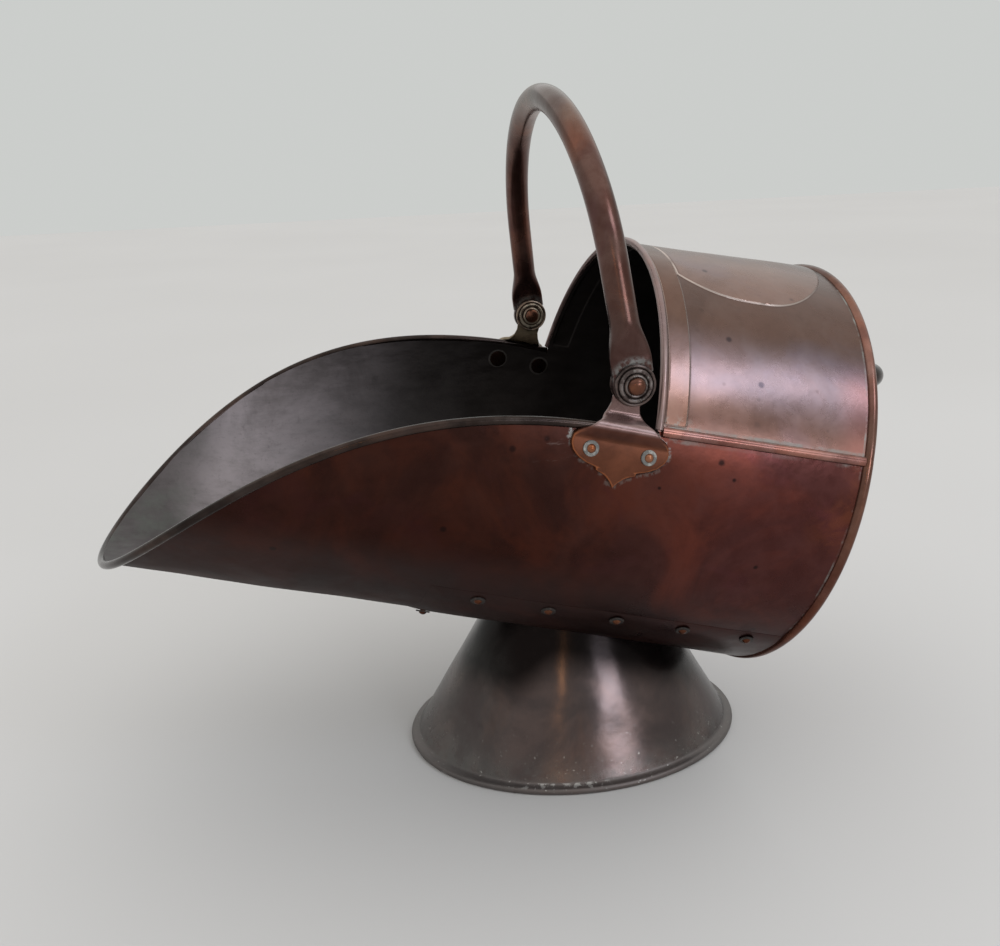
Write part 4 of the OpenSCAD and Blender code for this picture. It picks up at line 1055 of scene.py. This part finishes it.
face = np.concatenate([arc_line((0, 0), lug_r + lug_thick + 0.05, -3, 11.6, 40),
                       arc_line((135.32, 35.05), 5.5, -22, 75, 20), arc_line((134.38, 45.34), 4.2, 255, 180, 16),
                       [(ear_y + 2.5, 48), (ear_y + 2.5, 78)]])
steps = np.concatenate([[0], np.cumsum(np.linalg.norm(np.diff(face, axis=0), axis=1))])
even = np.arange(0, steps[-1], 0.25)
face = np.stack([np.interp(even, steps, face[:, k]) for k in range(2)], -1)
weights = np.exp(-np.linspace(-2, 2, 17) ** 2)
face = np.stack([np.convolve(face[:, k], weights / weights.sum(), "valid") for k in range(2)], -1)
face = face[(face[:, 1] > 1.05) & (face[:, 1] < 73.85)]
facing = np.gradient(face, axis=0)
facing = np.stack([facing[:, 1], -facing[:, 0]], -1) / np.linalg.norm(facing, axis=1)[:, None]
half = np.convolve(np.pad(lug_half(face[:, 1]), 2, "edge"), [0.1, 0.2, 0.4, 0.2, 0.1], "valid")[:, None]
slope = np.hypot(1, np.gradient(half[:, 0], face[:, 1]))[:, None]
in_mm = np.array([0, 0.1, 0.3, 0.6, 1.0, 1.6])
by_edge = np.minimum(in_mm * slope, half * in_mm * 0.3)
columns = np.concatenate([by_edge - half, np.linspace(-1, 1, 41)[1:-1] * (half - by_edge[:, -1:]),
                          half - by_edge[:, ::-1]], 1)
to_edge = (half - np.abs(columns)) / slope
eased = 1.0 - np.sqrt(1.0 - (1.0 - np.minimum(to_edge, 1.0)) ** 2)
taken_in = -taper * columns * np.clip((45 - face[:, 1:]) / 8, 0, 1)
for label, side in (("lug_near", -1), ("lug_far", 1)):
    skins = []
    for off in (-eased, -np.full_like(columns, lug_thick)):
        across_lug = face[:, :1] + facing[:, :1] * off + taken_in
        skins.append(barrel(lug_u + columns, side * across_lug, face[:, 1:] + facing[:, 1:] * off))
    lug = sheet_metal(label + "_plate", *skins, [lug_copper])
    write_points(lug.data, "edge_mm", np.tile(to_edge.ravel(), 2))
    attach(lug, "scuttle")
    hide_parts(label)

# Crust gathers on the wall round the plates, with dirt and a painted shadow along their edge: how close each of its
# points is.
lug_w = np.linspace(1, 34, 100)
lug_edge = np.concatenate([np.stack([k * lug_half(lug_w), lug_r * np.arcsin(lug_w / lug_r)], -1) for k in (-1, 1)])
on_side = np.abs(angles) * barrel_r(stations) - lug_r * np.pi / 2
wall_points = np.stack([stations - lug_u, on_side], -1).reshape(-1, 2)
gap = np.concatenate([np.linalg.norm(part[:, None] - lug_edge[None], axis=-1).min(1)
                      for part in np.array_split(wall_points, 40)])
write_points(scoop_wall.data, "by_lug", np.tile(np.clip(6 - gap, 0, 6), 2))

# ---- The pivots
# Each eye of the bail turns on a copper pin with domed heads, between two cast brass
# washers turned with rings and grooves, one outside the eye and one inside the ear.


def washer_finish():
    f = Finish("pivot_brass")
    crust, fine, r = f.noise(150, 6, 0.7), f.noise(320, 4, 0.7), from_pin(f)
    ring = f.step(abs(r - 8.6), 1.6, 0.7).most(f.step(abs(r - 5.9), 0.7, 0.3))
    # Near black in the grooves and round the pin: painted shade.
    groove_shade = f.step(abs(r - 7.3), 0.5, 0.2).most(f.step(abs(r - 10.4), 0.4, 0.15)).most(f.step(r, 5.3, 5.1))
    # On the far side the washers are lightened, painted light.
    colour = f.over(f.mix(f.step(crust, 0.35, 0.6), (0.05, 0.036, 0.033), (0.12, 0.085, 0.075)),
                    [(ring * f.step(crust, 0.38, 0.6) * 0.75, (0.22, 0.195, 0.185)),
                     (f.step(fine, 0.55, 0.7) * (ring * 0.4 + 0.1), (0.4, 0.41, 0.38)),
                     (f.step(f.y, 0.1, 0.11), (2.3, 2.3, 1.9), "MULTIPLY"), (groove_shade * 0.85, (0.015, 0.011, 0.01))])
    return f.finish(colour, 0.72, 0.26 + f.step(crust, 0.4, 0.7) * 0.2, crust + fine * 0.2, 0.15)


pivot_brass = washer_finish()
pin_copper = aged_copper("pin_copper", (0.1, 0.04, 0.025), (0.2, 0.075, 0.04), (0.12, 0.055, 0.045),
                         (0.24, 0.12, 0.08), rough=(0.2, 0.34), patch=50, pits=False, seed=24.0)
washer_form = [(4.1, 0), (12.2, 0), (12.2, 1.2), (11.95, 1.65), (11.4, 1.93), (10.85, 1.7), (10.45, 1.25), (10.2, 1.6),
               (9.8, 2.5), (9.2, 2.95), (8.3, 3.0), (7.7, 2.6), (7.35, 2.1), (7.05, 2.4), (6.6, 3.15), (6.0, 3.5),
               (5.5, 3.35), (5.2, 2.5), (4.1, 2.4)]
pin_form = [(0.01, 0), (2.6, 0.2), (4.4, 0.9), (5.2, 2.0), (5.2, 3.2), (3.9, 3.3), (3.9, 18.4), (5.3, 18.46),
            (5.3, 18.9), (5.05, 19.7), (4.4, 20.6), (3.4, 21.25), (2.2, 21.65), (1.0, 21.8), (0.01, 21.82)]
outer_y, pin_y = 135.78, 120.82
for label, side in (("near", -1), ("far", 1)):
    for part, form, start, away, finish, slot in (
            ("outer_washer", washer_form, outer_y, 1, pivot_brass, "aged_brass"),
            ("inner_washer", washer_form, ear_y, -1, pivot_brass, "aged_brass"),
            ("pivot_pin", pin_form, pin_y, 1, pin_copper, "handle_copper")):
        verts, quads = turned(form, 72)
        x, y, z = verts[..., 0] + pivot[0], side * (start + away * verts[..., 2]), verts[..., 1] + pivot[2]
        turned_part = as_piece(f"{part}_{label}_turned", np.stack([x, y, z], -1) * 0.001, quads, [finish])
        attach(turned_part, "scuttle")
        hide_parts(f"{part}_{label}")

# ---- The rear handle
# A level grip of tube on the back plate, for tipping the scuttle, with oval feet
# riveted through the plate.
dressed("rear_handle", "rear_grip", edge_copper, "handle_copper")
dressed("rear_handle_feet", "rear_grip_feet", bright, "bright_copper", 0.4)
dressed("rear_handle_rivets", "rear_grip_rivets", bright, "bright_copper")
dressed("rear_handle_burrs", "rear_grip_burrs", burr_copper, "bright_copper")

# ---- The wires
# Iron wire fills the rolled edges of the mouth, the hood and the foot, laid in before
# the sheet was closed over it. It shows only at its cut ends.


def iron_finish():
    f = Finish("iron_wire")
    rust = f.noise(180, 5, 0.7)
    colour = f.mix(f.step(rust, 0.4, 0.65), (0.05, 0.045, 0.042), (0.12, 0.05, 0.025))
    return f.finish(colour, 0.6, 0.5 + rust * 0.2, rust, 0.1)


iron = iron_finish()
for label in ("rim_wire", "hood_wire", "foot_wire"):
    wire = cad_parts[label]
    if not wire.data.materials:
        wire.data.materials.append(iron)
    for k in range(len(wire.material_slots)):
        wire.material_slots[k].material = iron

# ---- The studio
# A plain pale floor and backdrop, soft lamps, and the camera where the photographer
# stood, a little above the scuttle and towards its lip.

pale = Finish("pale_floor")
pale.finish(pale.mix(pale.noise(1.2, 2, 0.5), (0.52, 0.505, 0.485), (0.56, 0.545, 0.525)), 0.0, 0.9)
floor = bpy.data.meshes.new("floor")
floor.from_pydata([(-6, -6, 0), (6, -6, 0), (6, 6, 0), (-6, 6, 0)], [], [(0, 1, 2, 3)])
floor.materials.append(pale.material)
stand("floor", floor)

world = bpy.data.worlds.new("room")
bpy.context.scene.world = world
world.use_nodes = True
room = Tree(world.node_tree)
seen = room.node("ShaderNodeBackground", {0: (0.60, 0.615, 0.60, 1), 1: 1.0})
given_off = room.node("ShaderNodeBackground", {0: (0.96, 0.98, 1.0, 1), 1: 0.84})
camera_ray, glossy_ray, clear_ray = (room.node("ShaderNodeLightPath", output=f"Is {kind} Ray")
                                     for kind in ("Camera", "Glossy", "Transmission"))
shown = camera_ray.most(glossy_ray).most(clear_ray)
room.out("ShaderNodeOutputWorld", room.node("ShaderNodeMixShader", {0: shown, 1: given_off, 2: seen}))


def lamp(name, at, towards, size, watts, colour):
    light = bpy.data.lights.new(name, "AREA")
    light.shape, light.size, light.size_y = "RECTANGLE", size[0], size[1]
    light.energy, light.color = watts, colour
    holder = stand(name, light)
    holder.location = at
    holder.rotation_euler = (Vector(towards) - Vector(at)).to_track_quat("-Z", "Y").to_euler()


lamp("window", (1.27, -1.51, 1.86), (0.05, 0, 0.3), (0.95, 0.66), 10, (0.76, 0.86, 1.0))
lamp("doorway", (1.02, -2.28, 0.77), (0, 0, 0.08), (0.8, 0.25), 8, (0.86, 0.9, 1.0))
lamp("warm_glow", (-0.48, -2.45, 1.02), (0, 0, 0.1), (0.1, 0.07), 0.8, (1.0, 0.56, 0.24))
overhead = bpy.data.lights.new("overhead", "SUN")
overhead.energy, overhead.angle, overhead.color = 1.0, math.radians(115), (1.0, 0.99, 0.97)
stand("overhead", overhead).rotation_euler = (math.radians(-14), math.radians(4), 0)

yaw, pitch, roll = 0.1876, -0.3130, -0.0374
ahead = Vector((math.sin(yaw) * math.cos(pitch), math.cos(yaw) * math.cos(pitch), math.sin(pitch)))
level = Vector((math.cos(yaw), -math.sin(yaw), 0))
upward = level.cross(ahead)
right = math.cos(roll) * level + math.sin(roll) * upward
top = -math.sin(roll) * level + math.cos(roll) * upward
camera_data = bpy.data.cameras.new("camera")
focal_px, width_px, sensor = 1025.6, 1000, 36.0
camera_data.sensor_fit, camera_data.sensor_width = "HORIZONTAL", sensor
camera_data.lens = focal_px * sensor / width_px
camera_data.clip_start = 0.02
camera = stand("camera", camera_data)
turn_to = Matrix((right, top, -ahead)).transposed().to_4x4()
camera.matrix_world = Matrix.Translation((-0.1801, -0.6828, 0.43225)) @ turn_to
bpy.context.scene.camera = camera
bpy.context.scene.view_settings.view_transform = "Standard"

bpy.context.view_layer.update()
